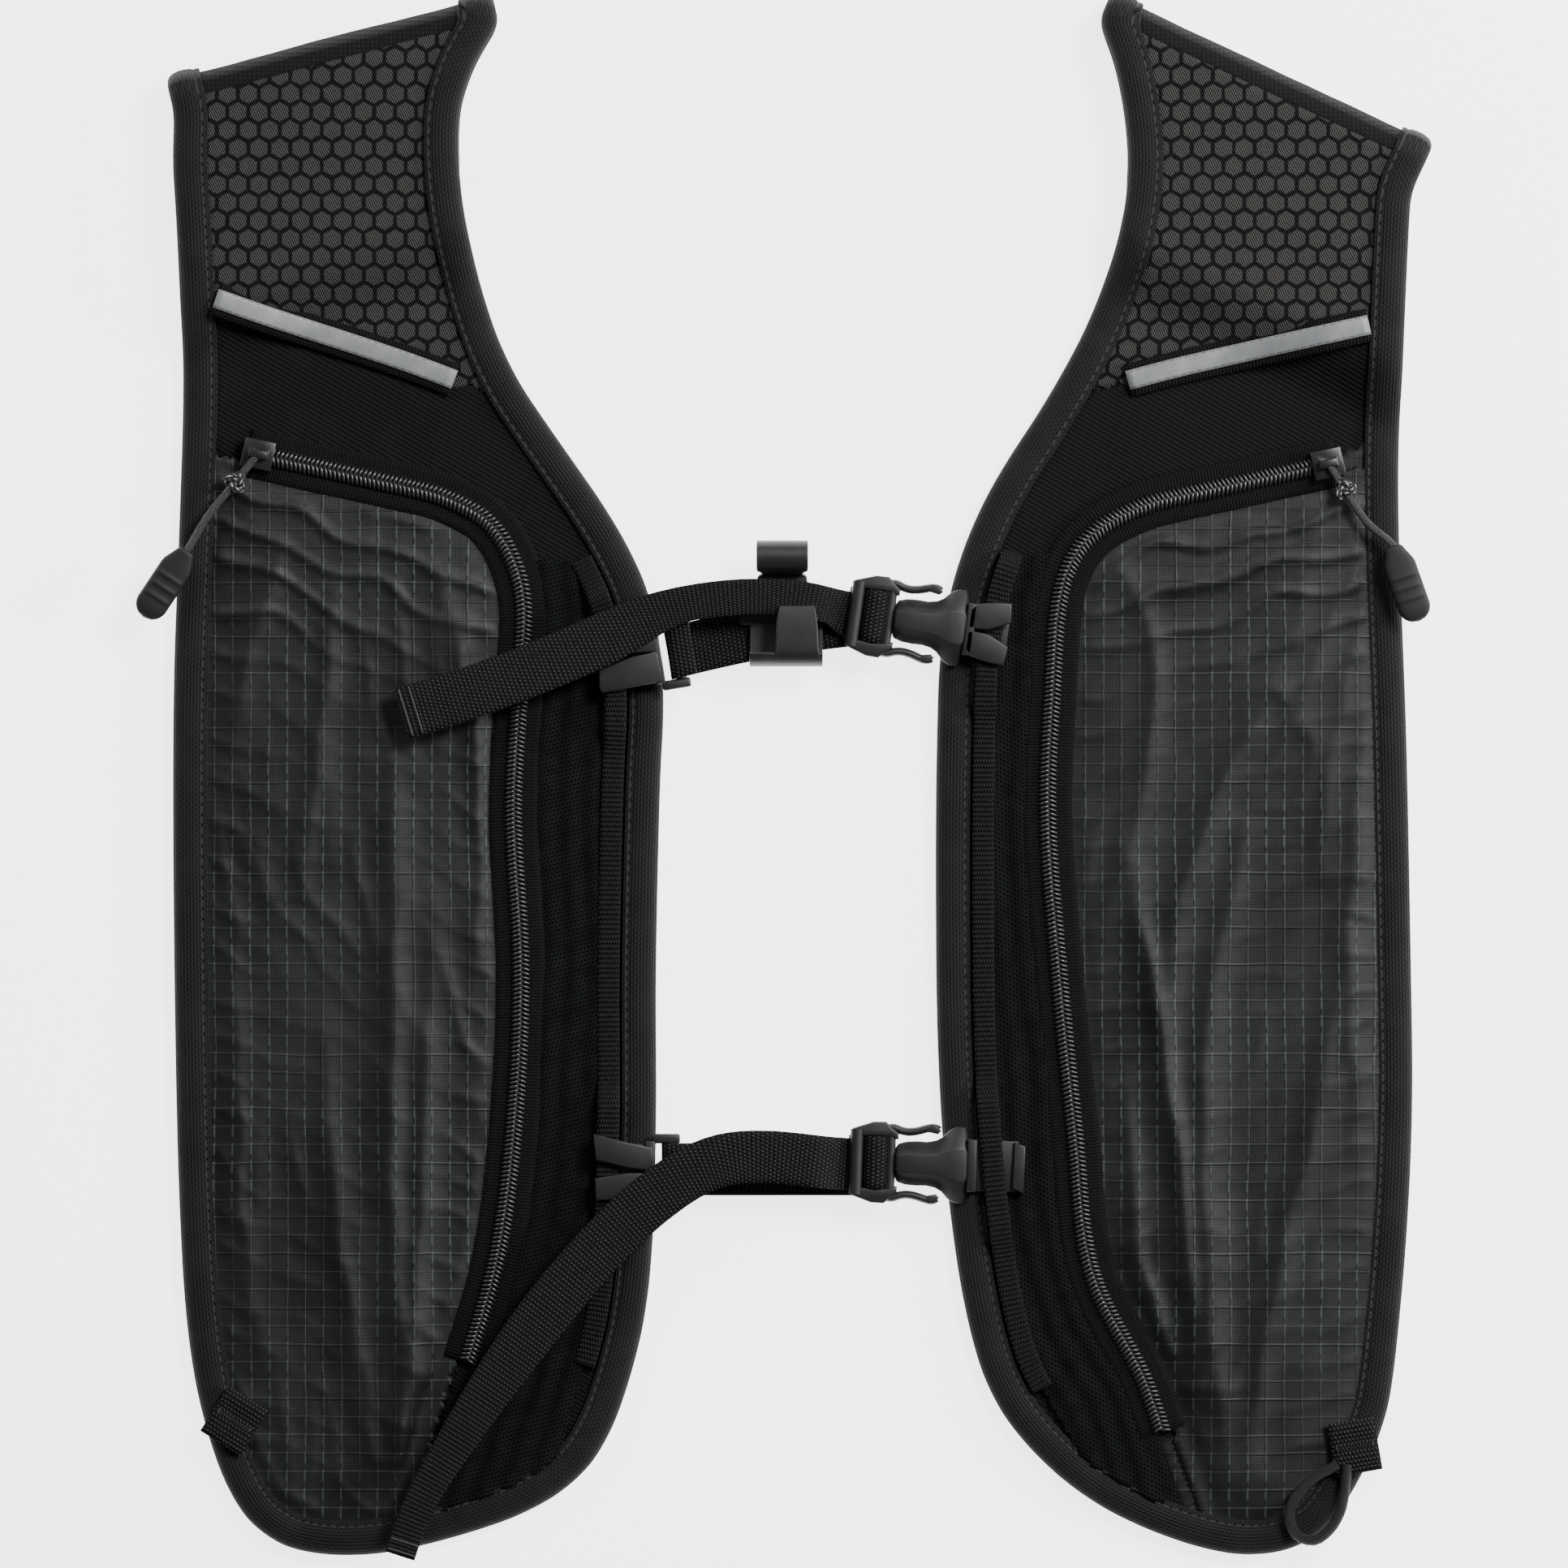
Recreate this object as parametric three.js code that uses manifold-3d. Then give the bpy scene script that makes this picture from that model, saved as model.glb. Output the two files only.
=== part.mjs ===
// Front harness vest: two padded front panels that fold over the shoulders into short rear flaps. Two buckled
// straps hook into a webbing rail on each panel and join the panels across the chest.
// Millimetres. The vest lies on its back: +X to the right, +Y towards the shoulders, +Z up off the surface.
import * as THREE from 'three';
import { mergeVertices } from 'three/addons/utils/BufferGeometryUtils.js';
import Module from 'manifold-3d';

const wasm = await Module();
wasm.setup();

// ---- driving dimensions ----
const LENGTH = 447;             // shoulder fold to the lowest point of the lower strap's tail
const HALF_WIDTH = 177.8;       // centre line to the outer edge of a panel
const HEM_RISE = 1.8;           // the hem stays this far above the tail's lowest point
const CLEARANCE = 0.3;          // between pieces that touch
const LINING = 1.0;             // thickness of the perforated lining
const CORE = 2.2;               // thickness of the foam spacer
const FACE = 0.8;               // thickness of the face fabrics
const BINDING_WIDTH = 10;
const BINDING_THICKNESS = 5;
const FOLD_RADIUS = 1.5;        // inside radius of the shoulder fold
const REAR_FLAP = 50;           // length of the flap behind the shoulder
const RAMP = 22;                // length over which the panel climbs onto the rear flap
const SHOULDER_PEAK = 100;      // distance of the highest shoulder point from the centre line
const FACE_SEAM = 2;            // the rear yoke meets the front mesh this far before the fold
const SEAM_RIBBON = 9.5;
const REFLECTIVE_WIDTH = 5.6;
const REFLECTIVE_THICKNESS = 0.5;
const TAPE_WIDTH = 14;
const TAPE_THICKNESS = 0.6;
const COIL_WIDTH = 5;
const COIL_THICKNESS = 1;
const ZIP_EDGE = 24.5;          // slider's centre to the panel's outer edge
const POCKET_RISE = 3.4;        // depth of an empty pocket
const POCKET_MARGIN = 9;        // flat sewn margin of a pocket
const POCKET_MARGIN_RISE = 1.4;
const MESH_POCKET_RISE = 1;
const RAIL_GAP = 0.45;          // between the binding and the rail
const RAIL_WIDTH = 6.3;
const RAIL_THICKNESS = 1.5;
const RAIL_ARCH = 3;            // a rail loop stands this far up where a hook passes under it
const ARCH_RUN = 9;             // length of the slope at each end of an arch
const WEBBING_WIDTH = 15;
const WEBBING_THICKNESS = 1.2;
const STRAP_TRAVEL = 8;         // a strap slides this far each way in its rail loop
const BUCKLE_RISE = 3.5;        // buckles' middle plane above the binding
const FRAME_THICKNESS = 4;
const FEMALE_THICKNESS = 6.2;
const HOOK_FLARE = 1;           // a hook is this much wider than half its webbing, each side
const HOOK_PLATE = 1.8;
const HOOK_TONGUE = 1.4;
const HOOK_PLAY = 1.6;           // sideways room of a rail in its hook
const HOOK_WALL = 2.4;
const HOOK_LIP = 2.6;           // a hook reaches this far past its rail
const HOOK_REACH = 26;          // female buckle's snout to the middle of its rail
const FRAME_START = 5;          // the left frame, measured from the middle of its rail
const FRAME_WALL = 3.3;         // beside the webbing
const SLOT = 4.3;
const SLOT_PLAY = 0.7;
const BAR_START = 13.6;
const BAR_END = 17.2;
const BAR_THICKNESS = 3;
const ARM_HALF = 1.5;           // half the thickness of a latch arm
const WEBBING_STOP = 6;         // the webbing ends this far short of the snout, below the middle bar
const CLIP_SPAN = [-16.7, 8.5];
const CLIP_RISE = 6.3;          // clip's middle above the right hook of its strap
const CLIP_REACH = 3.8;         // each clip hook starts this far past the webbing's edge
const CLIP_HEIGHT = 9.6;
const CLIP_RETURN = 13;
const CLIP_CURL = 4.6;
const CLIP_HOOK = 21;            // length of each of the clip's hooks
const MALE_SLOTS = [[-12.4, -9], [-5.8, -2.4]];
const MALE_SLOT_PLAY = 0.4;
const RIGHT_NOTCH = 5.2;
const CORD = 2.2;
const ELASTIC = 3;
const TAB_THICKNESS = 1.4;

// ---- sizes that follow from others ----
const RAIL_FROM_EDGE = BINDING_WIDTH + RAIL_GAP + RAIL_WIDTH / 2;
const HALF_WEBBING = WEBBING_WIDTH / 2;
const HOOK_WIDTH = WEBBING_WIDTH + 2 * HOOK_FLARE;
const FRAME_HALF = HALF_WEBBING + FRAME_WALL;
const SLOT_HALF = HALF_WEBBING + SLOT_PLAY;
const MALE_SLOT_HALF = HALF_WEBBING + MALE_SLOT_PLAY;

// ---- heights ----
const FACE_LOW = LINING + CORE + 2 * CLEARANCE;
const FACE_TOP = FACE_LOW + FACE;
const SEWN_LOW = FACE_TOP + CLEARANCE;            // underside of what is sewn on the face
const COIL_LOW = SEWN_LOW + TAPE_THICKNESS + CLEARANCE;
const COIL_TOP = COIL_LOW + COIL_THICKNESS;
const POCKET_TOP = SEWN_LOW + POCKET_RISE;
const MARGIN_TOP = SEWN_LOW + POCKET_MARGIN_RISE;
const TONGUE_LOW = SEWN_LOW + MESH_POCKET_RISE + CLEARANCE;
const ARCH_LOW = SEWN_LOW + RAIL_ARCH;
const PLATE_LOW = ARCH_LOW + RAIL_THICKNESS + CLEARANCE;
const PLATE_TOP = PLATE_LOW + HOOK_PLATE;
const BUCKLE_MID = BINDING_THICKNESS + BUCKLE_RISE;
const TAIL_LOW = Math.max(PLATE_TOP, BUCKLE_MID + FEMALE_THICKNESS / 2) + CLEARANCE;
const TAB_LOW = MARGIN_TOP + CLEARANCE;
const GRIP_LOW = Math.max(POCKET_TOP, BINDING_THICKNESS) + CLEARANCE;
const LOOP_HEIGHT = MARGIN_TOP + CLEARANCE + ELASTIC / 2;
const SHOULDER_RISE = BINDING_THICKNESS + 2 * FOLD_RADIUS;
const TOP = LENGTH / 2;
const HEM = HEM_RISE - TOP;
const CROSSING = 2;                               // an inset point nearer the edge than this has crossed over
const TALL = 40;                                  // cutting prisms reach this high

// ---- the two panels ----
// Heights are shares of the half length. Edges are distances from the centre line, the gap and the outer edge;
// the seam and the zip are shares of the way from the gap to the outer edge.
const PANELS = [
  {
    name: 'left', mirror: true, gap: 38, slope: 14.7,
    neck: [[78, 1.03], [86.5, 0.955], [94.3, 0.9], [96, 0.82], [94.7, 0.745], [89.8, 0.641], [81.4, 0.537],
      [66, 0.433], [50.2, 0.329], [40.5, 0.235]],
    front: [[-1, 0.121], [0, 0.017], [1.3, -0.243], [1.3, -0.451], [3.6, -0.659], [8.7, -0.763],
      [18.3, -0.867], [31.3, -0.919], [50, -0.955]],
    hem: 0.6295,
    side: [[27, -0.972], [17, -0.919], [8.5, -0.815], [4.2, -0.711], [1.8, -0.555], [0.2, -0.243],
      [0, 0.121], [1.6, 0.329], [2.8, 0.537], [0.9, 0.745], [0, 0.83], [4, 0.93], [14, 1.03]],
    seam: [[0.9585, 0.6309], [0.397, 0.5114], [0.3004, 0.4743]],
    zipStart: 0.4228, zipSlope: 12.4, zipBend: 0.4615,
    zip: [[0.3555, 0.3396], [0.3019, 0.2877], [0.2804, 0.2358], [0.289, 0.1208], [0.3019, -0.0349], [0.2861, -0.243], [0.3019, -0.451], [0.3383, -0.6174], [0.397, -0.7427]],
    zipEnd: [0.4721, -0.8725],
    railTop: 0.3132, railEnd: -0.7875, meshTop: 0.3311, meshEnd: -0.7696,
  },
  {
    name: 'right', mirror: false, gap: 41, slope: 25.1,
    neck: [[80, 1.03], [88.8, 0.969], [92.5, 0.921], [96.3, 0.797], [92.8, 0.693], [84.4, 0.589], [71.6, 0.485],
      [56.7, 0.381], [46.8, 0.277]],
    front: [[1.4, 0.179], [0.3, 0.067], [-0.1, -0.139], [0.6, -0.35], [3, -0.51], [9.2, -0.693],
      [16.5, -0.792], [29.7, -0.867], [43.9, -0.919], [62, -0.96]],
    hem: 0.6506,
    side: [[28, -0.972], [18.5, -0.919], [7.6, -0.815], [4.3, -0.711], [1.3, -0.555], [0, -0.399],
      [0.4, -0.243], [1.8, 0.069], [4.1, 0.381], [2.7, 0.589], [1.1, 0.745], [0.2, 0.81], [3, 0.86],
      [10, 0.93], [24, 1.03]],
    seam: [[0.9722, 0.5973], [0.3618, 0.5092], [0.2705, 0.4787]],
    zipStart: 0.4107, zipSlope: 12.4, zipBend: 0.4497,
    zip: [[0.3428, 0.3293], [0.2836, 0.2877], [0.258, 0.2358], [0.2442, 0.1208], [0.2339, -0.0349], [0.258, -0.243], [0.2917, -0.451], [0.326, -0.6277], [0.4364, -0.7633], [0.4751, -0.8322]],
    zipEnd: [0.519, -0.9172],
    railTop: 0.3221, railEnd: -0.7785, meshTop: 0.3221, meshEnd: -0.7606,
  },
];

// ---- the two straps: height of the left rail hook as a share of the half length, how far the right one
// is above it, and how far their pieces are turned ----
const STRAPS = {
  upper: { height: 0.1553, rise: 8.7, webbingTurn: 9.5, buckleTurn: -8, leftNotch: 5.2, overRail: true },
  lower: { height: -0.4944, rise: 1, webbingTurn: 0, buckleTurn: -2, leftNotch: 8, overRail: false },
};
const TAIL_TIP = { x: -4.5, rise: 2.6 };          // the lower tail's end, past its last point and above the hem
const hookHeight = (strap, side) => strap.height * TOP + (side === 'right' ? strap.rise : 0);

// ---- the straps' free tails, from the right rail hook ----
const TAILS = {
  upper: [[-32.23, 4.6], [-40.63, 4], [-50.63, 7], [-60.63, 8], [-76.63, 7.6], [-97.63, 3.5],
    [-121.03, -6.5], [-144.63, -15.8], [-168.63, -23.4]],
  lower: [[-32.66, 0.1], [-43.26, 0.5], [-63.56, 2.9], [-79.86, 1.7], [-98.46, -9.9], [-117.26, -28.5],
    [-135.66, -51.8], [-154.26, -79.5], [-165.26, -98.5]],
};

// ---- zip pulls: where the knot, the cord's bends and the grip lie, from the slider ----
const PULLS = {
  left: { cord: [[8, -10], [13, -17], [17.8, -22.4], [21.1, -26]], grip: [26.2, -37.4], gripTurn: -66.6 },
  right: { cord: [[6, -9.5], [9.5, -15.5], [13, -20], [15.8, -23.6]], grip: [22.1, -34.5], gripTurn: -60.5 },
};
const GRIP_LENGTH = 23;
const GRIP_WIDTH = 9.5;
const GRIP_THICKNESS = 4.2;
const KNOT = 4.6;
const SLIDER_LENGTH = 9;
const SLIDER_WALL = 1.4;
const BAIL_HEIGHT = 2.2;

// ---- small pieces sewn on the panels ----
const TABS = {
  left: { inset: 17.6, height: -0.8166, size: [13, 15], turn: 32 },
  right: { inset: 16.8, height: -0.8501, size: [16, 16], turn: 10 },
};
const ELASTIC_LOOP = [[151.8, -195.6], [146, -199.5], [142.6, -204.6], [142, -210], [143.3, -214.6], [147, -217],
  [151.5, -215.4], [155, -211.4], [157.3, -206.4], [158.4, -200.6]];
const GARAGE = [[16.7, 10.5], [16.7, -10.5], [4.7, -10.5], [-7.3, 6.5]];     // from the slider

// ---- general helpers ----
function solid(geometry) {
  const bare = geometry.clone();
  bare.deleteAttribute('normal');
  bare.deleteAttribute('uv');
  const merged = mergeVertices(bare, 1e-4);
  const index = merged.index.array;
  const kept = [];
  for (let i = 0; i < index.length; i += 3) {
    const [a, b, c] = [index[i], index[i + 1], index[i + 2]];
    if (a !== b && b !== c && c !== a) kept.push(a, b, c);
  }
  return new wasm.Manifold(new wasm.Mesh({
    numProp: 3,
    vertProperties: Float32Array.from(merged.attributes.position.array),
    triVerts: Uint32Array.from(kept),
  }));
}

function geometryOf(manifold) {
  const mesh = manifold.getMesh();
  const geometry = new THREE.BufferGeometry();
  geometry.setAttribute('position', new THREE.BufferAttribute(Float32Array.from(mesh.vertProperties), 3));
  geometry.setIndex(new THREE.BufferAttribute(Uint32Array.from(mesh.triVerts), 1));
  geometry.computeVertexNormals();
  return geometry;
}

function mirrored(geometry) {
  const flipped = geometry.clone();
  flipped.scale(-1, 1, 1);
  const index = flipped.index.array;
  for (let i = 0; i < index.length; i += 3) {
    [index[i], index[i + 1]] = [index[i + 1], index[i]];
  }
  flipped.computeVertexNormals();
  return flipped;
}

const flat = (points) => new THREE.Shape(points.map(([x, y]) => new THREE.Vector2(x, y)));

// A plan outline standing from one height to another.
function prism(points, low, high) {
  const geometry = new THREE.ExtrudeGeometry(flat(points), { depth: high - low, bevelEnabled: false });
  geometry.translate(0, 0, low);
  return geometry;
}

// A plan outline with chamfered rims.
function moulding(shape, low, high, chamfer) {
  const geometry = new THREE.ExtrudeGeometry(shape, {
    depth: high - low - 2 * chamfer,
    bevelThickness: chamfer,
    bevelSize: chamfer,
    bevelOffset: -chamfer,
    bevelSegments: 1,
    curveSegments: 6,
  });
  geometry.translate(0, 0, low + chamfer);
  return geometry;
}

// An outline in X and Z, run along Y about the centre line.
function acrossY(shape, width) {
  const geometry = new THREE.ExtrudeGeometry(shape, { depth: width, bevelEnabled: false });
  geometry.rotateX(Math.PI / 2);
  geometry.translate(0, width / 2, 0);
  return geometry;
}

// An outline in Y and Z, run along X from one place to another.
function acrossX(shape, from, to) {
  const geometry = new THREE.ExtrudeGeometry(shape, { depth: to - from, bevelEnabled: false });
  const basis = [[0, 1, 0], [0, 0, 1], [1, 0, 0]].map((axis) => new THREE.Vector3(...axis));
  geometry.applyMatrix4(new THREE.Matrix4().makeBasis(...basis));
  geometry.translate(from, 0, 0);
  return geometry;
}

function box(x0, x1, y0, y1, z0, z1) {
  const geometry = new THREE.BoxGeometry(x1 - x0, y1 - y0, z1 - z0);
  geometry.translate((x0 + x1) / 2, (y0 + y1) / 2, (z0 + z1) / 2);
  return geometry;
}

// A smooth line through plan points.
function smooth(points, divisions) {
  const places = points.map(([x, y]) => new THREE.Vector3(x, y, 0));
  const curve = new THREE.CatmullRomCurve3(places, false, 'centripetal');
  return curve.getSpacedPoints(divisions).map((p) => [p.x, p.y]);
}

// The same line moved sideways: positive distances go to the left of its travel.
function beside(line, distance) {
  return line.map(([x, y], i) => {
    const [ax, ay] = line[Math.max(i - 1, 0)];
    const [bx, by] = line[Math.min(i + 1, line.length - 1)];
    const length = Math.hypot(bx - ax, by - ay);
    return [x - (by - ay) / length * distance, y + (bx - ax) / length * distance];
  });
}

// A panel's edge moved inwards, without the points that cross over at tight corners.
function insetLine(edge, inset) {
  const clear = ([x, y]) => edge.every(([bx, by], i) => {
    const [ax, ay] = edge[(i + edge.length - 1) % edge.length];
    const [dx, dy] = [bx - ax, by - ay];
    const share = THREE.MathUtils.clamp(((x - ax) * dx + (y - ay) * dy) / (dx * dx + dy * dy), 0, 1);
    return i === 0 || Math.hypot(x - ax - dx * share, y - ay - dy * share) > inset - CROSSING;
  });
  return beside(edge, inset).filter(clear);
}

const strip = (line, width) => [...beside(line, width / 2), ...beside(line, -width / 2).reverse()];

// Adds length to both ends of a line.
function lengthened(line, before, after) {
  const reach = ([ax, ay], [bx, by], more) => {
    const length = Math.hypot(bx - ax, by - ay);
    return more > 0 ? [[bx + (bx - ax) / length * more, by + (by - ay) / length * more]] : [];
  };
  return [...reach(line[1], line[0], before), ...line, ...reach(line.at(-2), line.at(-1), after)];
}

// Where a line crosses a height.
function crossing(line, y) {
  const i = line.findIndex(([, high], k) => k > 0 && (high - y) * (line[k - 1][1] - y) <= 0);
  const [ax, ay] = line[i - 1];
  const [bx, by] = line[i];
  return ax + (bx - ax) * (y - ay) / (by - ay);
}

const between = (line, high, low) => line.filter(([, y]) => y < high && y > low);

function tube(points, diameter, steps) {
  const path = new THREE.CatmullRomCurve3(points.map((p) => new THREE.Vector3(...p)), false, 'centripetal');
  const section = new THREE.Shape();
  section.absarc(0, 0, diameter / 2, 0, 2 * Math.PI);
  const options = { steps, curveSegments: 8, extrudePath: path, bevelEnabled: false };
  return new THREE.ExtrudeGeometry(section, options);
}

// ---- colours ----
const finish = (color, roughness) => new THREE.MeshStandardMaterial({ color, roughness, metalness: 0 });
const LOOKS = {
  lining: () => finish('#1d1e20', 0.9),
  core: () => finish('#2a2a2a', 0.95),
  mesh: () => finish('#3a3836', 0.85),
  knit: () => finish('#26292d', 0.85),
  binding: () => finish('#2b2c2e', 0.85),
  ripstop: () => finish('#2d3232', 0.6),
  reflective: () => finish('#9aa0a0', 0.5),
  webbing: () => finish('#2c2d2d', 0.8),
  coil: () => finish('#1c1d1e', 0.5),
  plastic: () => finish('#4a4b49', 0.5),
  rubber: () => finish('#1b1c1d', 0.6),
  cord: () => finish('#3a3b3c', 0.7),
};

const vest = new THREE.Group();

function add(name, geometry, look, parent = vest) {
  const mesh = new THREE.Mesh(geometry, LOOKS[look]());
  mesh.name = name;
  parent.add(mesh);
  return mesh;
}

// ---- a panel's layers, which run up the front, over the shoulder fold and down the rear flap ----
class Layers {
  constructor(panel) {
    const slope = THREE.MathUtils.degToRad(panel.slope);
    this.up = new THREE.Vector3(Math.sin(slope), Math.cos(slope), 0);
    this.along = new THREE.Vector3(Math.cos(slope), -Math.sin(slope), 0);
    const peak = SHOULDER_PEAK * this.up.x + TOP * this.up.y;
    this.fold = peak - FOLD_RADIUS - BINDING_THICKNESS;
    this.rampEnd = this.fold - REAR_FLAP - 4;
    this.rampStart = this.rampEnd - RAMP;
    this.rearStart = Math.PI * FOLD_RADIUS;
    this.rearEnd = this.rearStart + REAR_FLAP;
  }

  // The lining's inner face at a distance past the fold's start, with the direction out of it.
  at(s) {
    if (s <= 0) {
      const share = THREE.MathUtils.smoothstep(this.fold + s, this.rampStart, this.rampEnd);
      return { v: this.fold + s, z: SHOULDER_RISE * share, nv: 0, nz: 1 };
    }
    const angle = Math.min(s / FOLD_RADIUS, Math.PI);
    const back = Math.max(s - this.rearStart, 0);
    return {
      v: this.fold + FOLD_RADIUS * Math.sin(angle) - back,
      z: SHOULDER_RISE - FOLD_RADIUS + FOLD_RADIUS * Math.cos(angle),
      nv: Math.sin(angle),
      nz: Math.cos(angle),
    };
  }

  // A layer between two heights above the lining's inner face, from one distance to another.
  layer(low, high, from, to) {
    const stops = [from, to];
    for (let i = 0; i <= 6; i += 1) stops.push(this.rampStart - this.fold + RAMP * i / 6);
    for (let i = 0; i <= 8; i += 1) stops.push(this.rearStart * i / 8);
    const line = stops.filter((s) => s >= from && s <= to).sort((a, b) => a - b);
    const places = line.filter((s, i) => i === 0 || s - line[i - 1] > 1e-3).map((s) => this.at(s));
    const outside = places.map((p) => [p.v + p.nv * high, p.z + p.nz * high]);
    const inside = places.map((p) => [p.v + p.nv * low, p.z + p.nz * low]);
    return this.standing([...outside, ...inside.reverse()]);
  }

  // An outline across the fold, run along it past both edges of the panel.
  standing(outline) {
    const geometry = new THREE.ExtrudeGeometry(flat(outline), { depth: 2 * LENGTH, bevelEnabled: false });
    const basis = new THREE.Matrix4().makeBasis(this.up, new THREE.Vector3(0, 0, 1), this.along);
    geometry.applyMatrix4(basis);
    geometry.translate(-this.along.x * LENGTH, -this.along.y * LENGTH, 0);
    return solid(geometry);
  }
}

// A share of the way from the gap to the outer edge, as a distance from the centre line.
const across = (panel, share) => panel.gap + share * (HALF_WIDTH - panel.gap);

// The panel's edge from the neck, down the front, round the hem and up the side.
function panelEdge(panel) {
  const points = [
    ...panel.neck.map(([x, share]) => [x, share * TOP]),
    ...panel.front.map(([x, share]) => [panel.gap + x, share * TOP]),
    [across(panel, panel.hem), HEM],
    ...panel.side.map(([x, share]) => [HALF_WIDTH - x, share * TOP]),
  ];
  return smooth(points, 74);
}

function buildPanel(panel) {
  const layers = new Layers(panel);
  const edge = panelEdge(panel);
  const belowTop = solid(box(-LENGTH, LENGTH, -LENGTH, TOP, -TALL, TALL));
  const within = (inset) => solid(prism(insetLine(edge, inset), -TALL, TALL)).intersect(belowTop);
  const whole = within(0);
  const inner = within(BINDING_WIDTH + CLEARANCE);
  const start = -2 * LENGTH;
  const put = (name, manifold, look) => {
    const geometry = geometryOf(manifold);
    add(`${panel.name}_${name}`, panel.mirror ? mirrored(geometry) : geometry, look);
  };

  // padding
  const layerEnd = layers.rearEnd - BINDING_WIDTH - CLEARANCE;
  put('back_lining', layers.layer(0, LINING, start, layerEnd).intersect(inner), 'lining');
  const coreLow = LINING + CLEARANCE;
  put('foam_core', layers.layer(coreLow, coreLow + CORE, start, layerEnd).intersect(inner), 'core');

  // edge binding, with its bar across the end of the rear flap
  const ring = whole.subtract(within(BINDING_WIDTH));
  const barStart = layers.rearEnd - BINDING_WIDTH;
  const flapEnd = layers.layer(0, BINDING_THICKNESS, barStart, layers.rearEnd).intersect(whole);
  const binding = layers.layer(0, BINDING_THICKNESS, start, layers.rearEnd).intersect(ring).add(flapEnd);
  put('edge_binding', binding, 'binding');

  // face fabrics, parted by the shoulder seam and by the pocket's top line
  const placed = ([share, height]) => [across(panel, share), height * TOP];
  const seam = smooth(panel.seam.map(placed), 10);
  const seamLine = lengthened(seam, 60, 60);
  const far = 3 * LENGTH;
  const areaAbove = (line, shift) => {
    const moved = beside(line, -shift);
    return solid(prism([...moved, [moved.at(-1)[0] - far, far], [moved[0][0] + far, far]], -TALL, TALL));
  };
  const zipTurn = THREE.MathUtils.degToRad(panel.zipSlope);
  const zipFrom = [HALF_WIDTH - ZIP_EDGE, panel.zipStart * TOP];
  const zipRun = zipFrom[0] - across(panel, panel.zipBend);
  const zipBend = [zipFrom[0] - zipRun, zipFrom[1] - zipRun * Math.tan(zipTurn)];
  const pocketLine = lengthened([zipFrom, zipBend], 60, 120);
  const face = (from, to) => layers.layer(FACE_LOW, FACE_TOP, from, to).intersect(inner);
  const front = face(start, -FACE_SEAM - CLEARANCE);
  const belowPocketLine = front.subtract(areaAbove(pocketLine, 0));
  put('shoulder_mesh', front.intersect(areaAbove(seamLine, 0)), 'mesh');
  const belowSeam = front.subtract(areaAbove(seamLine, -CLEARANCE));
  put('chest_mesh', belowSeam.intersect(areaAbove(pocketLine, CLEARANCE)), 'knit');
  put('pocket_back', belowPocketLine, 'ripstop');
  put('rear_yoke', face(-FACE_SEAM, layerEnd), 'binding');

  // seam ribbon with the reflective strip on it
  const ribbon = (low, high, width) => layers.layer(low, high, start, -FACE_SEAM - 20)
    .intersect(inner).intersect(solid(prism(strip(seamLine, width), -TALL, TALL)));
  const ribbonTop = SEWN_LOW + TAPE_THICKNESS;
  put('seam_ribbon', ribbon(SEWN_LOW, ribbonTop, SEAM_RIBBON), 'webbing');
  const stripLow = ribbonTop + CLEARANCE;
  put('reflective_strip', ribbon(stripLow, stripLow + REFLECTIVE_THICKNESS, REFLECTIVE_WIDTH), 'reflective');

  // zip: a straight run for the slider, a bend, and the long run down the pocket
  const zipLine = [zipFrom, ...smooth([zipBend, ...panel.zip.map(placed)], 34)];
  const sewn = (area, low, high) => solid(prism(area, low, high)).intersect(inner);
  const zipTapeLine = lengthened(zipLine, 6, 0);
  put('zip_tape', sewn(strip(zipTapeLine, TAPE_WIDTH), SEWN_LOW, SEWN_LOW + TAPE_THICKNESS), 'coil');
  put('zip_coil', sewn(strip(lengthened(zipLine, 3, 0), COIL_WIDTH), COIL_LOW, COIL_TOP), 'coil');

  // rail, which arches up over a hook at each strap
  const railEdge = beside(edge, RAIL_FROM_EDGE);
  const lowest = railEdge.indexOf(railEdge.reduce((low, point) => (point[1] < low[1] ? point : low)));
  const railLine = between(railEdge.slice(0, lowest), panel.railTop * TOP, panel.railEnd * TOP);
  const hooks = Object.values(STRAPS).map((strap) => hookHeight(strap, panel.name));
  const archHalf = HOOK_WIDTH / 2 + STRAP_TRAVEL + 1;
  const rise = (y) => {
    const near = Math.min(...hooks.map((hook) => Math.abs(y - hook)));
    return RAIL_ARCH * (1 - THREE.MathUtils.smoothstep(near, archHalf, archHalf + ARCH_RUN));
  };
  const railStops = [panel.railEnd * TOP];
  for (const hook of hooks) {
    for (const side of [-1, 1]) {
      for (let i = 0; i <= 4; i += 1) railStops.push(hook + side * (archHalf + ARCH_RUN * i / 4));
    }
  }
  railStops.push(panel.railTop * TOP + 5);
  railStops.sort((a, b) => a - b);
  const railTops = railStops.map((y) => [y, SEWN_LOW + RAIL_THICKNESS + rise(y)]);
  const railLows = railStops.map((y) => [y, SEWN_LOW + rise(y)]).reverse();
  const railSide = acrossX(flat([...railTops, ...railLows]), 0, LENGTH);
  put('rail', solid(railSide).intersect(solid(prism(strip(railLine, RAIL_WIDTH), -TALL, TALL))), 'webbing');

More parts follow.
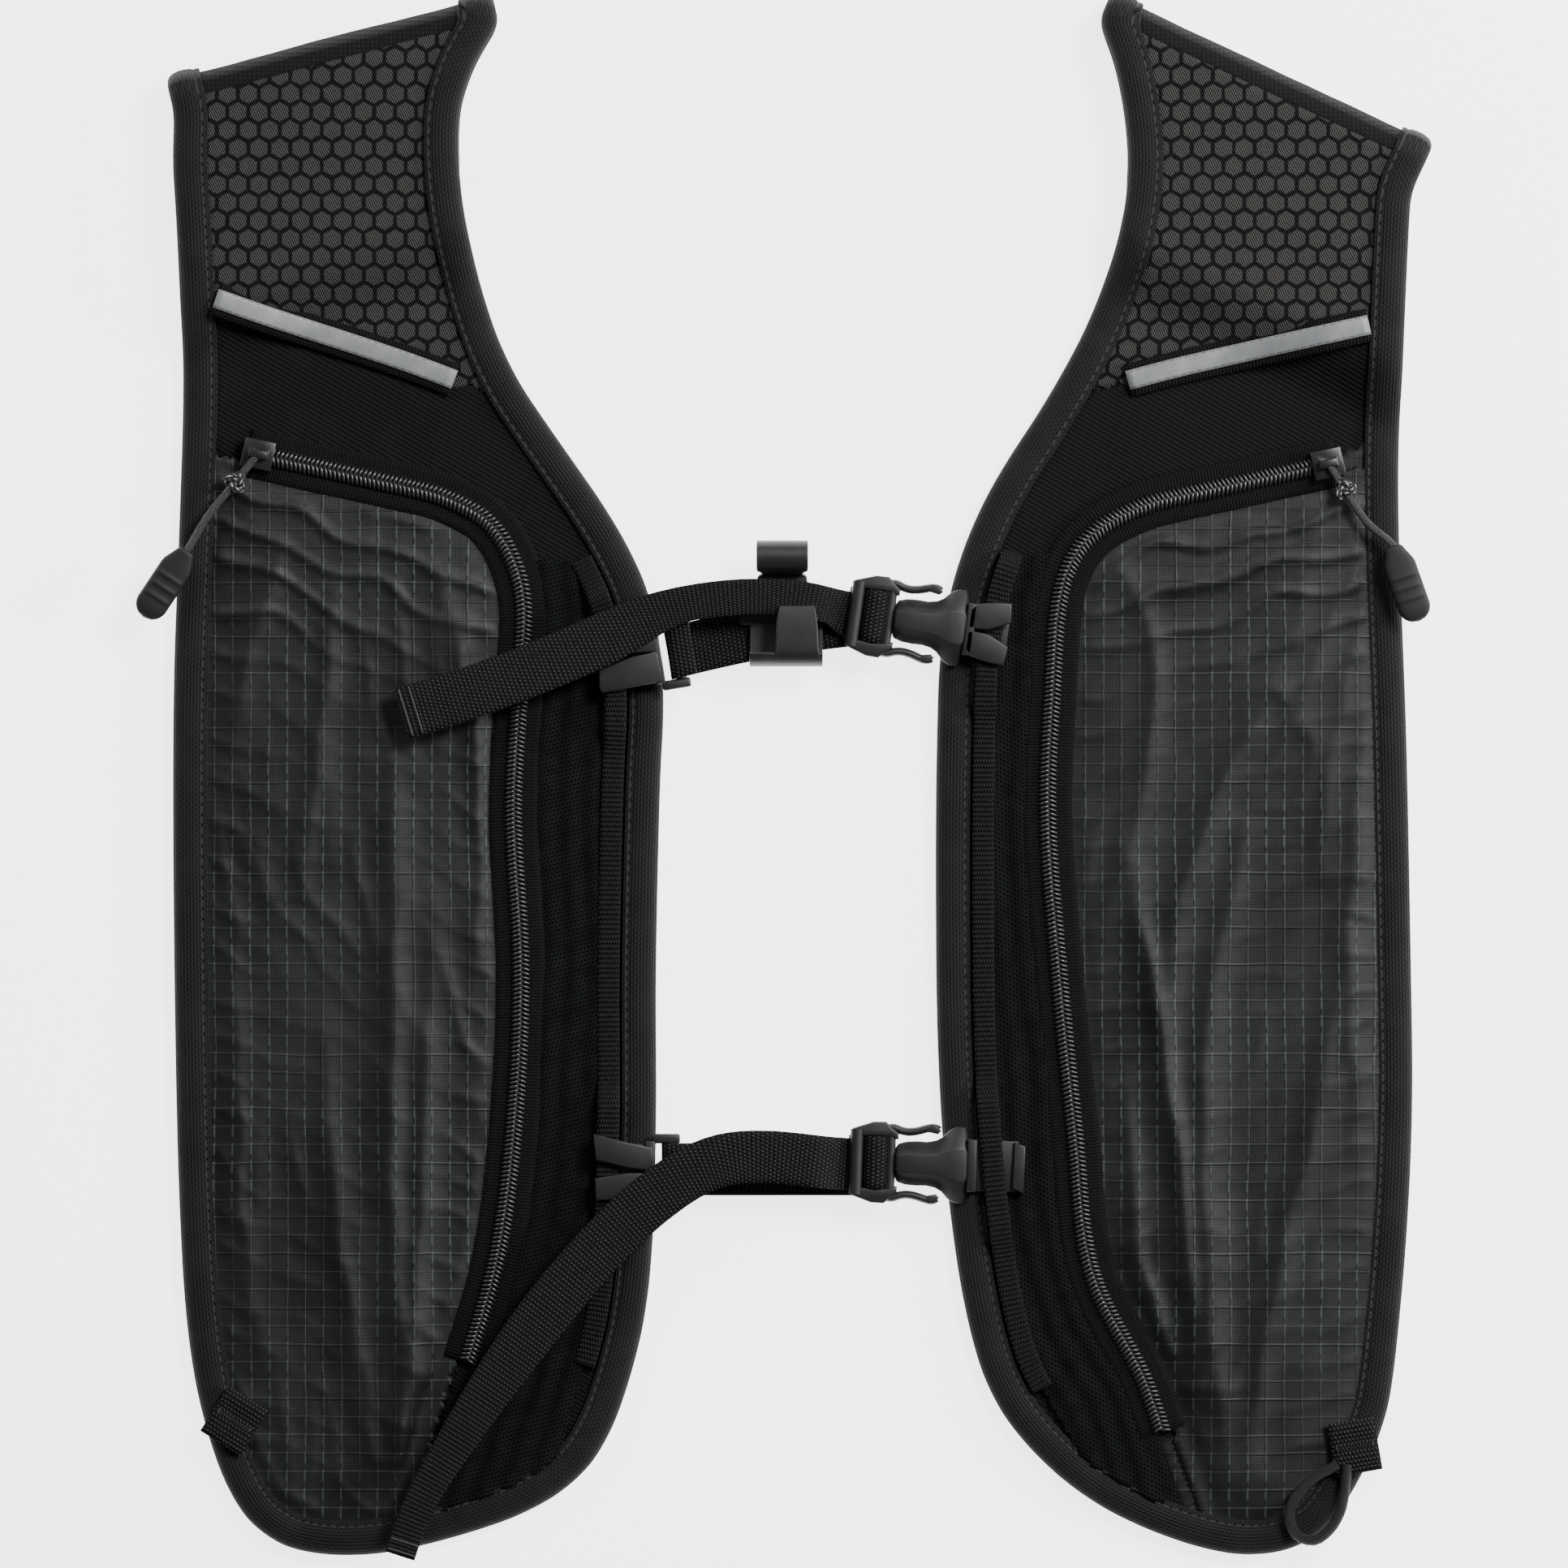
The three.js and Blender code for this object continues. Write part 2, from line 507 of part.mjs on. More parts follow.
  // pockets: one bag outside the zip, one stretch-mesh strip between the zip and the rail
  const zipCut = lengthened([...zipLine, placed(panel.zipEnd)], 80, 60);
  const outerSide = solid(prism([...zipCut, [far, zipCut.at(-1)[1] - far], [far, zipCut[0][1]]], -TALL, TALL));
  const tapeCut = solid(prism(strip(lengthened(zipLine, 80, 0), TAPE_WIDTH + 2 * CLEARANCE), -TALL, TALL));
  const seamCut = solid(prism(strip(zipCut, 2 * CLEARANCE), -TALL, TALL));
  const pocketArea = inner.intersect(outerSide).subtract(tapeCut).subtract(seamCut);
  const slab = (low, high) => solid(box(-LENGTH, LENGTH, -LENGTH, LENGTH, low, high));
  const crownCut = solid(prism(strip(zipCut, TAPE_WIDTH + 2 * POCKET_MARGIN), -TALL, TALL));
  const raised = within(BINDING_WIDTH + POCKET_MARGIN).intersect(outerSide).subtract(crownCut);
  const pocket = pocketArea.intersect(slab(SEWN_LOW, MARGIN_TOP))
    .add(raised.intersect(slab(MARGIN_TOP - 0.5, POCKET_TOP)));
  put('pocket_front', pocket, 'ripstop');
  const railCut = solid(prism(strip(lengthened(railLine, 30, 60), RAIL_WIDTH + 2 * CLEARANCE), -TALL, TALL));
  const meshSpan = solid(box(0, LENGTH, panel.meshEnd * TOP, panel.meshTop * TOP, SEWN_LOW,
    SEWN_LOW + MESH_POCKET_RISE));
  const outsideRail = solid(prism([...lengthened(railLine, 60, 60), [far, -far], [far, far]], -TALL, TALL));
  put('mesh_pocket', inner.intersect(meshSpan).intersect(outsideRail).subtract(outerSide).subtract(tapeCut)
    .subtract(seamCut).subtract(railCut), 'mesh');

  // garage flap at the zip's closed end, and the folded tab on the lower side
  const garageArea = GARAGE.map(([x, y]) => [zipFrom[0] + x, zipFrom[1] + y]);
  const garage = inner.intersect(solid(prism(garageArea, SEWN_LOW, SEWN_LOW + TAPE_THICKNESS)));
  put('zip_garage', garage.subtract(outerSide).subtract(tapeCut), 'ripstop');
  const tab = TABS[panel.name];
  const [tabWidth, tabLength] = tab.size;
  const tabGeometry = new THREE.BoxGeometry(tabWidth, tabLength, TAB_THICKNESS);
  tabGeometry.rotateZ(THREE.MathUtils.degToRad(tab.turn));
  tabGeometry.translate(HALF_WIDTH - tab.inset, tab.height * TOP, TAB_LOW + TAB_THICKNESS / 2);
  put('side_tab', solid(tabGeometry), 'webbing');

  buildPull(panel, zipFrom, zipTurn);
  return { railAt: (y) => crossing(railLine, y) };
}

// The slider rides the coil between two walls; the knotted cord with its grip swings on the slider's bail.
function buildPull(panel, [x, y], zipTurn) {
  const put = (name, geometry, look) => {
    geometry.translate(x, y, 0);
    const placed = geometryOf(solid(geometry));
    add(`${panel.name}_${name}`, panel.mirror ? mirrored(placed) : placed, look);
  };
  const plateLow = COIL_TOP + CLEARANCE;
  const plateTop = plateLow + SLIDER_WALL;
  const half = COIL_WIDTH / 2 + CLEARANCE;
  const end = SLIDER_LENGTH / 2;
  const body = solid(box(-end, end, -half - SLIDER_WALL, half + SLIDER_WALL, COIL_LOW, plateTop))
    .subtract(solid(box(-LENGTH, LENGTH, -half, half, 0, plateLow)));
  const bail = solid(box(-end * 0.6, end * 0.6, -1.2, 1.2, plateTop - 0.2, plateTop + BAIL_HEIGHT))
    .subtract(solid(box(-end * 0.35, end * 0.35, -LENGTH, LENGTH, plateTop, plateTop + BAIL_HEIGHT - 0.8)));
  const slider = geometryOf(body.add(bail));
  slider.rotateZ(Math.PI + zipTurn);
  put('zip_slider', slider, 'plastic');

  const pull = PULLS[panel.name];
  const [first] = pull.cord;
  const reach = Math.hypot(...first);
  const unit = first.map((value) => value / reach);
  const knotHeight = plateTop + BAIL_HEIGHT / 2;
  const knotAt = reach - KNOT / 2 - CLEARANCE;
  const knot = new THREE.SphereGeometry(KNOT / 2, 10, 6);
  knot.translate(unit[0] * knotAt, unit[1] * knotAt, knotHeight);
  put('pull_knot', knot, 'cord');
  const gripMid = GRIP_LOW + GRIP_THICKNESS / 2;
  const drop = (i) => knotHeight + (gripMid - knotHeight) * i / (pull.cord.length - 1);
  const route = pull.cord.map(([cx, cy], i) => [cx, cy, drop(i)]);
  put('pull_cord', tube(route, CORD, 9), 'cord');

  const grip = new THREE.Shape();
  const narrow = GRIP_WIDTH * 0.3;
  const round = GRIP_WIDTH / 2;
  const long = GRIP_LENGTH / 2;
  grip.moveTo(-long, -narrow);
  grip.lineTo(-long * 0.4, -round);
  grip.lineTo(long - round, -round);
  grip.absarc(long - round, 0, round, -Math.PI / 2, Math.PI / 2);
  grip.lineTo(-long * 0.4, round);
  grip.lineTo(-long, narrow);
  const gripGeometry = moulding(grip, GRIP_LOW, GRIP_LOW + GRIP_THICKNESS, 0.9);
  gripGeometry.rotateZ(THREE.MathUtils.degToRad(pull.gripTurn));
  gripGeometry.translate(pull.grip[0], pull.grip[1], 0);
  put('pull_grip', gripGeometry, 'rubber');
}

const built = Object.fromEntries(PANELS.map((panel) => [panel.name, buildPanel(panel)]));
add('right_elastic_loop', tube(ELASTIC_LOOP.map(([x, y]) => [x, y, LOOP_HEIGHT]), ELASTIC, 12), 'cord');

// ---- straps ----
// A hook round a rail loop, open away from its strap: a tongue under the loop and a forked plate over it.
function hook(notch, overRail) {
  const wall = RAIL_WIDTH / 2 + HOOK_PLAY;
  const back = -wall - HOOK_WALL;
  const half = WEBBING_WIDTH / 2;
  const lip = wall + HOOK_LIP;
  const tongueEnd = overRail ? wall + 1 : lip + 2.5;
  const tongueTop = TONGUE_LOW + HOOK_TONGUE;
  const body = solid(box(back, -wall, -half, half, TONGUE_LOW, PLATE_TOP))
    .add(solid(box(back, tongueEnd, -half, half, TONGUE_LOW, tongueTop)));
  if (!overRail) {
    return body.add(solid(box(lip, tongueEnd, -half, half, TONGUE_LOW, PLATE_LOW)));
  }
  const flare = HOOK_WIDTH / 2 + 0.8;
  const upperSide = [[-1, 0.6], [lip + 0.6, notch / 2], [lip, flare], [back, half]];
  const fork = [...upperSide.map(([x, y]) => [x, -y]).reverse(), ...upperSide];
  return body.add(solid(prism(fork, PLATE_LOW, PLATE_TOP)));
}

// The left end of a strap: its hook, and a slotted frame for the webbing's sewn loop.
function hookWithFrame(notch) {
  const low = BUCKLE_MID - BAR_THICKNESS / 2;
  const high = BUCKLE_MID + BAR_THICKNESS / 2;
  const frame = solid(box(FRAME_START, BAR_END, -FRAME_HALF, FRAME_HALF, low, high))
    .subtract(solid(box(BAR_START - SLOT, BAR_START, -SLOT_HALF, SLOT_HALF, 0, TALL)));
  const turned = geometryOf(hook(notch, true));
  turned.rotateZ(Math.PI);
  return geometryOf(frame.add(solid(turned)));
}

// Webbing sewn round the frame's bar, then running low beneath the buckle.
function mainWebbing(length) {
  const loopLow = BUCKLE_MID - BAR_THICKNESS / 2 - CLEARANCE - WEBBING_THICKNESS;
  const loopHigh = BUCKLE_MID + BAR_THICKNESS / 2 + CLEARANCE + WEBBING_THICKNESS;
  const loopStart = BAR_START - CLEARANCE - WEBBING_THICKNESS;
  const loopEnd = BAR_END + CLEARANCE;
  const low = BUCKLE_MID - FRAME_THICKNESS / 2 - CLEARANCE - WEBBING_THICKNESS - 0.6;
  const top = low + WEBBING_THICKNESS;
  const shape = flat([[loopStart, loopLow], [loopEnd + 1, loopLow], [loopEnd + 5, low], [length, low],
    [length, top], [loopEnd + 6, top], [loopEnd + 3, loopHigh], [loopStart, loopHigh]]);
  shape.holes.push(new THREE.Path([
    new THREE.Vector2(BAR_START - CLEARANCE, loopLow + WEBBING_THICKNESS),
    new THREE.Vector2(BAR_START - CLEARANCE, loopHigh - WEBBING_THICKNESS),
    new THREE.Vector2(loopEnd, loopHigh - WEBBING_THICKNESS),
    new THREE.Vector2(loopEnd, loopLow + WEBBING_THICKNESS),
  ]));
  return acrossY(shape, WEBBING_WIDTH);
}

const wider = (points) => points.map(([x, y]) => [x, y + HALF_WEBBING]);
const bothSides = (half) => [...wider(half), ...wider(half).map(([x, y]) => [x, -y]).reverse()];

// The buckle's pieces are drawn from the female's snout, with +X towards its rail hook and Y from the
// webbing's edge.
function maleFrame() {
  const outline = flat(bothSides([[-14.8, 0.7], [-13.4, 2], [-8.5, 3.8], [-4.8, 3.8], [-3, 0.9], [-0.3, -0.3]]));
  const low = BUCKLE_MID - FRAME_THICKNESS / 2;
  const slots = MALE_SLOTS.map(([x0, x1]) => solid(box(x0, x1, -MALE_SLOT_HALF, MALE_SLOT_HALF, 0, TALL)));
  const frame = solid(moulding(outline, low, low + FRAME_THICKNESS, 0.6));
  return geometryOf(slots.reduce((left, slot) => left.subtract(slot), frame));
}

function latchArm(side) {
  const outline = wider([[-4.4, 3.3], [-1, 2.4], [1.7, 1.7], [4.7, 2.4], [8.2, 3.9], [10.4, 3.5], [11.4, 1.7],
    [11, 0.8], [8, 1.2], [4.5, 0.9], [1.7, 0.4], [-1, 0.8], [-2.8, 1.5]]);
  const turned = flat(outline.map(([x, y]) => [x, side * y]));
  return moulding(turned, BUCKLE_MID - ARM_HALF, BUCKLE_MID + ARM_HALF, 0.3);
}

function femaleBody(overRail) {
  const outline = flat(bothSides([[0.3, -5.3], [1, -3.1], [2.2, -1.9], [6.7, -1.4], [9.7, 0.1], [15.5, 3.4],
    [17.6, 3.5], [18.6, -0.1], [HOOK_REACH - 6, -0.1]]));
  const low = BUCKLE_MID - FEMALE_THICKNESS / 2;
  const slotHalf = ARM_HALF + CLEARANCE;
  const slot = (side) => {
    const opening = wider([[4, 4.5], [4, -1.3], [12.6, -1.3], [12.6, 4.5]]).map(([x, y]) => [x, side * y]);
    return solid(prism(opening, BUCKLE_MID - slotHalf, BUCKLE_MID + slotHalf));
  };
  const railHook = geometryOf(hook(RIGHT_NOTCH, overRail));
  railHook.translate(HOOK_REACH, 0, 0);
  return geometryOf(solid(moulding(outline, low, low + FEMALE_THICKNESS, 0.9))
    .subtract(slot(1)).subtract(slot(-1)).add(solid(railHook)));
}

for (const [name, strap] of Object.entries(STRAPS)) {
  const left = new THREE.Group();
  const [leftHeight, rightHeight] = [hookHeight(strap, 'left'), hookHeight(strap, 'right')];
  left.position.set(-built.left.railAt(leftHeight), leftHeight, 0);
  left.rotation.z = THREE.MathUtils.degToRad(strap.webbingTurn);
  const right = new THREE.Group();
  right.position.set(built.right.railAt(rightHeight), rightHeight, 0);
  right.rotation.z = THREE.MathUtils.degToRad(strap.buckleTurn);
  const buckle = new THREE.Group();
  buckle.position.x = -HOOK_REACH;
  right.add(buckle);
  vest.add(left, right);
  const gap = right.position.x - left.position.x;
  const span = (gap - HOOK_REACH - WEBBING_STOP) / Math.cos(left.rotation.z);
  add(`${name}_rail_hook`, hookWithFrame(strap.leftNotch), 'plastic', left);
  add(`${name}_webbing`, mainWebbing(span), 'webbing', left);
  add(`${name}_buckle_female`, femaleBody(strap.overRail), 'plastic', buckle);
  add(`${name}_buckle_male`, maleFrame(), 'plastic', buckle);
  add(`${name}_latch_up`, latchArm(1), 'plastic', buckle);
  add(`${name}_latch_down`, latchArm(-1), 'plastic', buckle);
  const tailPoints = TAILS[name].map(([x, y]) => [right.position.x + x, right.position.y + y]);
  if (!strap.overRail) tailPoints.push([tailPoints.at(-1)[0] + TAIL_TIP.x, TAIL_TIP.rise - TOP]);
  const tail = strip(smooth(tailPoints, 22), WEBBING_WIDTH);
  add(`${name}_tail`, prism(tail, TAIL_LOW, TAIL_LOW + WEBBING_THICKNESS), 'webbing');
}

// ---- hose clip: a plate between the webbing and its tail, with a hook above and a hook below ----
function hoseClip() {
  const [plateLow, plateHigh] = [BUCKLE_MID - 2.4, BUCKLE_MID - 0.9];
  const middle = hookHeight(STRAPS.upper, 'right') + CLIP_RISE;
  const lowEdge = middle - HALF_WEBBING - CLIP_REACH;
  const highEdge = middle + HALF_WEBBING + CLIP_REACH;
  const turn = (y, z, radius, from, to) => {
    const points = [];
    for (let i = 0; i <= 8; i += 1) {
      const angle = from + (to - from) * i / 8;
      points.push([y + radius * Math.cos(angle), z + radius * Math.sin(angle)]);
    }
    return points;
  };
  const mid = plateLow + CLIP_HEIGHT / 2;
  const thick = plateHigh - plateLow;
  const lower = [
    ...turn(lowEdge, mid, CLIP_HEIGHT / 2, 1.5 * Math.PI, 0.5 * Math.PI),
    [lowEdge + CLIP_RETURN, plateLow + CLIP_HEIGHT],
    [lowEdge + CLIP_RETURN, plateLow + CLIP_HEIGHT - thick],
    ...turn(lowEdge, mid, CLIP_HEIGHT / 2 - thick, 0.5 * Math.PI, 1.5 * Math.PI)];
  const radius = CLIP_CURL;
  const top = plateLow + CLIP_HEIGHT - radius;
  const curl = highEdge - thick + radius;
  const upper = [
    [highEdge - thick, plateHigh],
    [highEdge, plateHigh],
    ...turn(curl, top, radius - thick, Math.PI, 0),
    ...turn(curl, top, radius, 0, Math.PI)];
  const profile = (outline, from, to) => solid(acrossX(flat(outline), from, to));
  const plate = solid(box(...CLIP_SPAN, lowEdge, highEdge, plateLow, plateHigh));
  const [start, end] = CLIP_SPAN;
  const lowerHook = profile(lower, end - CLIP_HOOK, end);
  return geometryOf(plate.add(lowerHook).add(profile(upper, start, start + CLIP_HOOK)));
}
add('hose_clip', hoseClip(), 'plastic');

export default vest;
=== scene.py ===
# %% [markdown]
# # A front harness vest, flat on its back
# The vest is two padded panels that fold over the shoulders, joined by two buckled straps. The packed
# design gives every place and size, so each piece here is made in the same frame, in metres, over its plain
# solid.

# %% Load the design
import math

import bmesh
import bpy
from mathutils import Matrix, Vector, noise
from mathutils.bvhtree import BVHTree
from mathutils.kdtree import KDTree


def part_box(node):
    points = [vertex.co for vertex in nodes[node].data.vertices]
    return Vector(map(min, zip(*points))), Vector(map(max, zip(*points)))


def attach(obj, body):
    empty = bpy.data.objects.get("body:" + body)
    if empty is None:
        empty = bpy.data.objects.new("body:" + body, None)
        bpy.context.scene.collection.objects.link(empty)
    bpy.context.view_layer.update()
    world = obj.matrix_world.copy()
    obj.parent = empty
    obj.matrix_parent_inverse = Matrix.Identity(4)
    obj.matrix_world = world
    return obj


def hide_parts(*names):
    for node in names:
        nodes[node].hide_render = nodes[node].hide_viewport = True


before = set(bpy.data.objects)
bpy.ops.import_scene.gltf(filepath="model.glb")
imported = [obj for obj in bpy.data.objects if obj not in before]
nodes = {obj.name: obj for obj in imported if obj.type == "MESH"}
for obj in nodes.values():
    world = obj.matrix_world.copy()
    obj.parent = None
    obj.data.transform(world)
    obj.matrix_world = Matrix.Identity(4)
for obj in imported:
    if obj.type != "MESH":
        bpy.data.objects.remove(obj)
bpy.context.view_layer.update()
MM = 0.001
TAU = 2 * math.pi

# %% [markdown]
# ## Camera
# A long lens straight above the vest keeps its edges true. The frame is square, and its width at the vest's
# height sets the lens.

# %% Camera above the vest
SENSOR = 36.0
CAMERA_HEIGHT = 3.2
PICTURE_WIDTH = 0.4493
VEST_HEIGHT = 8 * MM
camera = bpy.data.objects.new("camera", bpy.data.cameras.new("camera"))
bpy.context.scene.collection.objects.link(camera)
camera.location = (-2.6 * MM, 0, CAMERA_HEIGHT)
camera.data.sensor_width = SENSOR
camera.data.lens = SENSOR * (CAMERA_HEIGHT - VEST_HEIGHT) / PICTURE_WIDTH
camera.data.clip_end = 20
bpy.context.scene.camera = camera

# %% [markdown]
# ## Helpers for materials
# Every cloth here is a pattern in millimetres, drawn by a few maths nodes. A small class keeps the node
# code short: each method adds one node and hands back its output.

# %% A short way to write node materials
class Finish:
    def __init__(self, name, roughness, coords="UV", metallic=0.0, specular=0.22):
        self.material = bpy.data.materials.new(name)
        self.material.use_nodes = True
        self.nodes = self.material.node_tree.nodes
        self.links = self.material.node_tree.links
        self.shader = self.nodes["Principled BSDF"]
        self.shader.inputs["Roughness"].default_value = roughness
        self.shader.inputs["Metallic"].default_value = metallic
        self.shader.inputs["Specular IOR Level"].default_value = specular
        source = self.nodes.new("ShaderNodeTexCoord").outputs[coords]
        self.place = self.vector("SCALE", source, scale=1000)
        split = self.nodes.new("ShaderNodeSeparateXYZ")
        self.links.new(self.place, split.inputs[0])
        self.x, self.y, self.z = split.outputs

    def fill(self, socket, value):
        if isinstance(value, bpy.types.NodeSocket):
            self.links.new(value, socket)
        elif value is not None:
            socket.default_value = value

    def math(self, operation, a, b=None, c=None):
        node = self.nodes.new("ShaderNodeMath")
        node.operation = operation
        for socket, value in zip(node.inputs, (a, b, c)):
            self.fill(socket, value)
        return node.outputs[0]

    def vector(self, operation, a, b=None, c=None, scale=None):
        node = self.nodes.new("ShaderNodeVectorMath")
        node.operation = operation
        for socket, value in zip(node.inputs, (a, b, c)):
            self.fill(socket, value)
        if scale is not None:
            node.inputs["Scale"].default_value = scale
        return node.outputs["Value"] if operation in ("DOT_PRODUCT", "LENGTH") else node.outputs["Vector"]

    def wave(self, value, pitch, shift=0.0):
        """From 0 to 1 and back, once every pitch."""
        turns = self.math("MULTIPLY_ADD", value, TAU / pitch, shift)
        return self.math("MULTIPLY_ADD", self.math("SINE", turns), 0.5, 0.5)

    def noise(self, scale, detail=3.0, stretch=(1, 1, 1)):
        node = self.nodes.new("ShaderNodeTexNoise")
        node.inputs["Scale"].default_value = scale
        node.inputs["Detail"].default_value = detail
        self.links.new(self.vector("MULTIPLY", self.place, stretch), node.inputs["Vector"])
        return node.outputs["Fac"]

    def add(self, *values):
        total = values[0]
        for value in values[1:]:
            total = self.math("ADD", total, value)
        return total

    def times(self, a, b):
        return self.math("MULTIPLY", a, b)

    def between(self, value, low, high):
        """1 where low < value < high, else 0."""
        return self.times(self.math("GREATER_THAN", value, low), self.math("LESS_THAN", value, high))

    def ramp(self, value, low, high):
        node = self.nodes.new("ShaderNodeMapRange")
        node.clamp = True
        self.fill(node.inputs["Value"], value)
        node.inputs["From Min"].default_value = low
        node.inputs["From Max"].default_value = high
        return node.outputs["Result"]

    def mix(self, share, a, b):
        node = self.nodes.new("ShaderNodeMix")
        node.data_type = "RGBA"
        self.fill(node.inputs["Factor"], share)
        self.fill(node.inputs["A"], a if isinstance(a, bpy.types.NodeSocket) else (*a, 1))
        self.fill(node.inputs["B"], b if isinstance(b, bpy.types.NodeSocket) else (*b, 1))
        return node.outputs["Result"]

    def done(self, colour, height=None, depth=0.3, roughness=None):
        """Sets colour, bump depth in millimetres and roughness, and gives the material."""
        self.fill(self.shader.inputs["Base Color"], colour)
        self.fill(self.shader.inputs["Roughness"], roughness)
        if height is not None:
            bump = self.nodes.new("ShaderNodeBump")
            bump.inputs["Distance"].default_value = depth * MM
            bump.inputs["Strength"].default_value = 1.0
            self.links.new(height, bump.inputs["Height"])
            self.links.new(bump.outputs["Normal"], self.shader.inputs["Normal"])
        return self.material


def grey(level, warm=0.0):
    """A near-neutral dark colour, as linear light; warm above 0 leans brown and below 0 leans blue."""
    return (level * (1 + warm), level, level * (1 - warm))

# %% [markdown]
# ## Cloth finishes
# Each textile is told apart by its own small pattern: ribs in the binding, honeycomb cells on the shoulder,
# a square ripstop grid on the pockets, rows of knots in the webbing. The pitches are in millimetres.

# %% Ribbed binding tape
def binding_finish():
    f = Finish("binding tape", 0.8)
    rib = f.wave(f.y, 0.95)
    dash = f.wave(f.math("ADD", f.x, f.times(f.math("FLOOR", f.math("DIVIDE", f.y, 0.95)), 0.7)), 1.5)
    stitch = f.times(f.between(f.y, STITCH_LINE - 0.32, STITCH_LINE + 0.32),
                     f.math("GREATER_THAN", f.wave(f.x, 3.0), 0.3))
    groove = f.between(f.y, STITCH_LINE - 0.7, STITCH_LINE + 0.7)
    weave = f.add(f.times(rib, 0.6), f.times(dash, 0.4))
    cloud = f.noise(0.09, 4)
    base = f.mix(f.ramp(weave, 0.1, 0.9), grey(0.001, -0.03), grey(0.016, -0.02))
    aged = f.mix(f.times(f.ramp(cloud, 0.35, 0.7), 0.3), base, grey(0.02))
    colour = f.mix(f.times(stitch, 0.7), aged, grey(0.045))
    height = f.add(f.times(weave, 0.6), f.times(stitch, 0.9), f.times(groove, -0.7))
    return f.done(colour, height, 0.35)


STITCH_LINE = 1.7      # millimetres from the tape's inner edge

# %% Honeycomb shoulder mesh
CELL = 6.0             # across the flats of one cell, in millimetres
ROOT3 = math.sqrt(3)


def honeycomb(f, cell):
    """Distance from a cell's middle, 0 to 1 at its border, on rows of hexagons."""
    size = (cell, cell * ROOT3, 1)
    half = (cell / 2, cell * ROOT3 / 2, 0.5)
    flat = f.vector("MULTIPLY", f.place, (1, 1, 0))
    first = f.vector("SUBTRACT", f.vector("WRAP", flat, size, (0, 0, 0)), half)
    moved = f.vector("ADD", flat, half)
    second = f.vector("SUBTRACT", f.vector("WRAP", moved, size, (0, 0, 0)), half)

    def reach(p):
        size_of = f.vector("ABSOLUTE", p)
        side = f.vector("DOT_PRODUCT", size_of, (0.5, ROOT3 / 2, 0))
        split = f.nodes.new("ShaderNodeSeparateXYZ")
        f.links.new(size_of, split.inputs[0])
        return f.math("MAXIMUM", side, split.outputs[0])

    return f.math("DIVIDE", f.math("MINIMUM", reach(first), reach(second)), cell / 2)


def honeycomb_finish():
    f = Finish("honeycomb mesh", 0.85, coords="Object")
    edge = honeycomb(f, CELL)
    wall = f.ramp(f.add(edge, f.times(f.noise(0.3, 3), 0.22)), 0.86, 1.0)
    hatch = f.wave(f.add(f.times(f.x, 0.9), f.times(f.y, 0.45)), 0.62)
    thread = f.wave(f.y, 0.45)
    inside = f.mix(f.ramp(hatch, 0.2, 0.8), grey(0.006, 0.08), grey(0.085, 0.05))
    colour = f.mix(f.times(wall, 0.97), inside, grey(0.0015, 0.05))
    height = f.add(f.times(hatch, 0.5), f.times(thread, 0.2), f.times(wall, -1.2))
    return f.done(colour, height, 0.4)

# %% Fine chest knit
def knit_finish():
    f = Finish("chest knit", 0.85, coords="Object")
    slant = f.add(f.times(f.x, 0.5), f.times(f.y, 0.86))
    course = f.wave(slant, 1.25)
    wale = f.wave(f.add(f.times(f.x, 0.86), f.times(f.y, -0.5)), 0.8)
    weave = f.add(f.times(course, 0.65), f.times(wale, 0.35))
    cloud = f.noise(0.05, 3)
    base = f.mix(f.ramp(weave, 0.25, 0.85), grey(0.0008, -0.2), grey(0.006, -0.18))
    colour = f.mix(f.times(f.ramp(cloud, 0.4, 0.7), 0.3), base, grey(0.006, -0.18))
    return f.done(colour, weave, 0.3)

# %% Ripstop nylon
def ripstop_finish():
    f = Finish("ripstop nylon", 0.46, coords="Object", specular=0.35)
    bend = f.times(f.noise(0.03, 2), 1.8)
    across = f.add(f.x, bend)
    along = f.add(f.y, bend)
    grid = 5.2
    bar = f.ramp(f.wave(across, grid), 0.95, 0.99)
    row = f.ramp(f.wave(along, grid), 0.95, 0.99)
    dash = f.times(bar, f.ramp(f.wave(along, grid, 1.2), 0.15, 0.4))
    patch = f.ramp(f.noise(0.025, 2), 0.38, 0.62)
    weave = f.times(f.wave(across, 0.42), f.wave(along, 0.42))
    worn = f.noise(0.035, 6, (1, 0.5, 1))
    base = f.mix(f.ramp(worn, 0.35, 0.65), (0.0034, 0.0046, 0.0042), (0.0098, 0.0122, 0.0114))
    line = f.math("MAXIMUM", f.times(dash, 0.85), f.times(row, 0.14))
    thread = f.mix(f.times(line, f.math("MULTIPLY_ADD", patch, 0.85, 0.15)), base, (0.052, 0.058, 0.058))
    height = f.add(f.times(weave, 0.3), f.times(bar, 0.5), f.times(row, 0.5))
    rough = f.math("MULTIPLY_ADD", worn, 0.25, 0.34)
    return f.done(thread, height, 0.16, rough)

# %% Woven webbing
def webbing_finish(name="webbing", pitch=1.25, lane=1.1, dark=0.0015, light=0.07):
    f = Finish(name, 0.7)
    row = f.math("FLOOR", f.math("DIVIDE", f.x, pitch))
    shifted = f.math("ADD", f.y, f.times(row, lane / 2))
    knot = f.times(f.wave(f.x, pitch), f.wave(shifted, lane))
    fray = f.noise(1.1, 3)
    base = f.mix(f.ramp(knot, 0.25, 0.95), grey(dark), grey(light, 0.01))
    colour = f.mix(f.ramp(fray, 0.45, 0.7), base, f.mix(0.65, base, grey(dark * 2)))
    return f.done(colour, knot, 0.5)

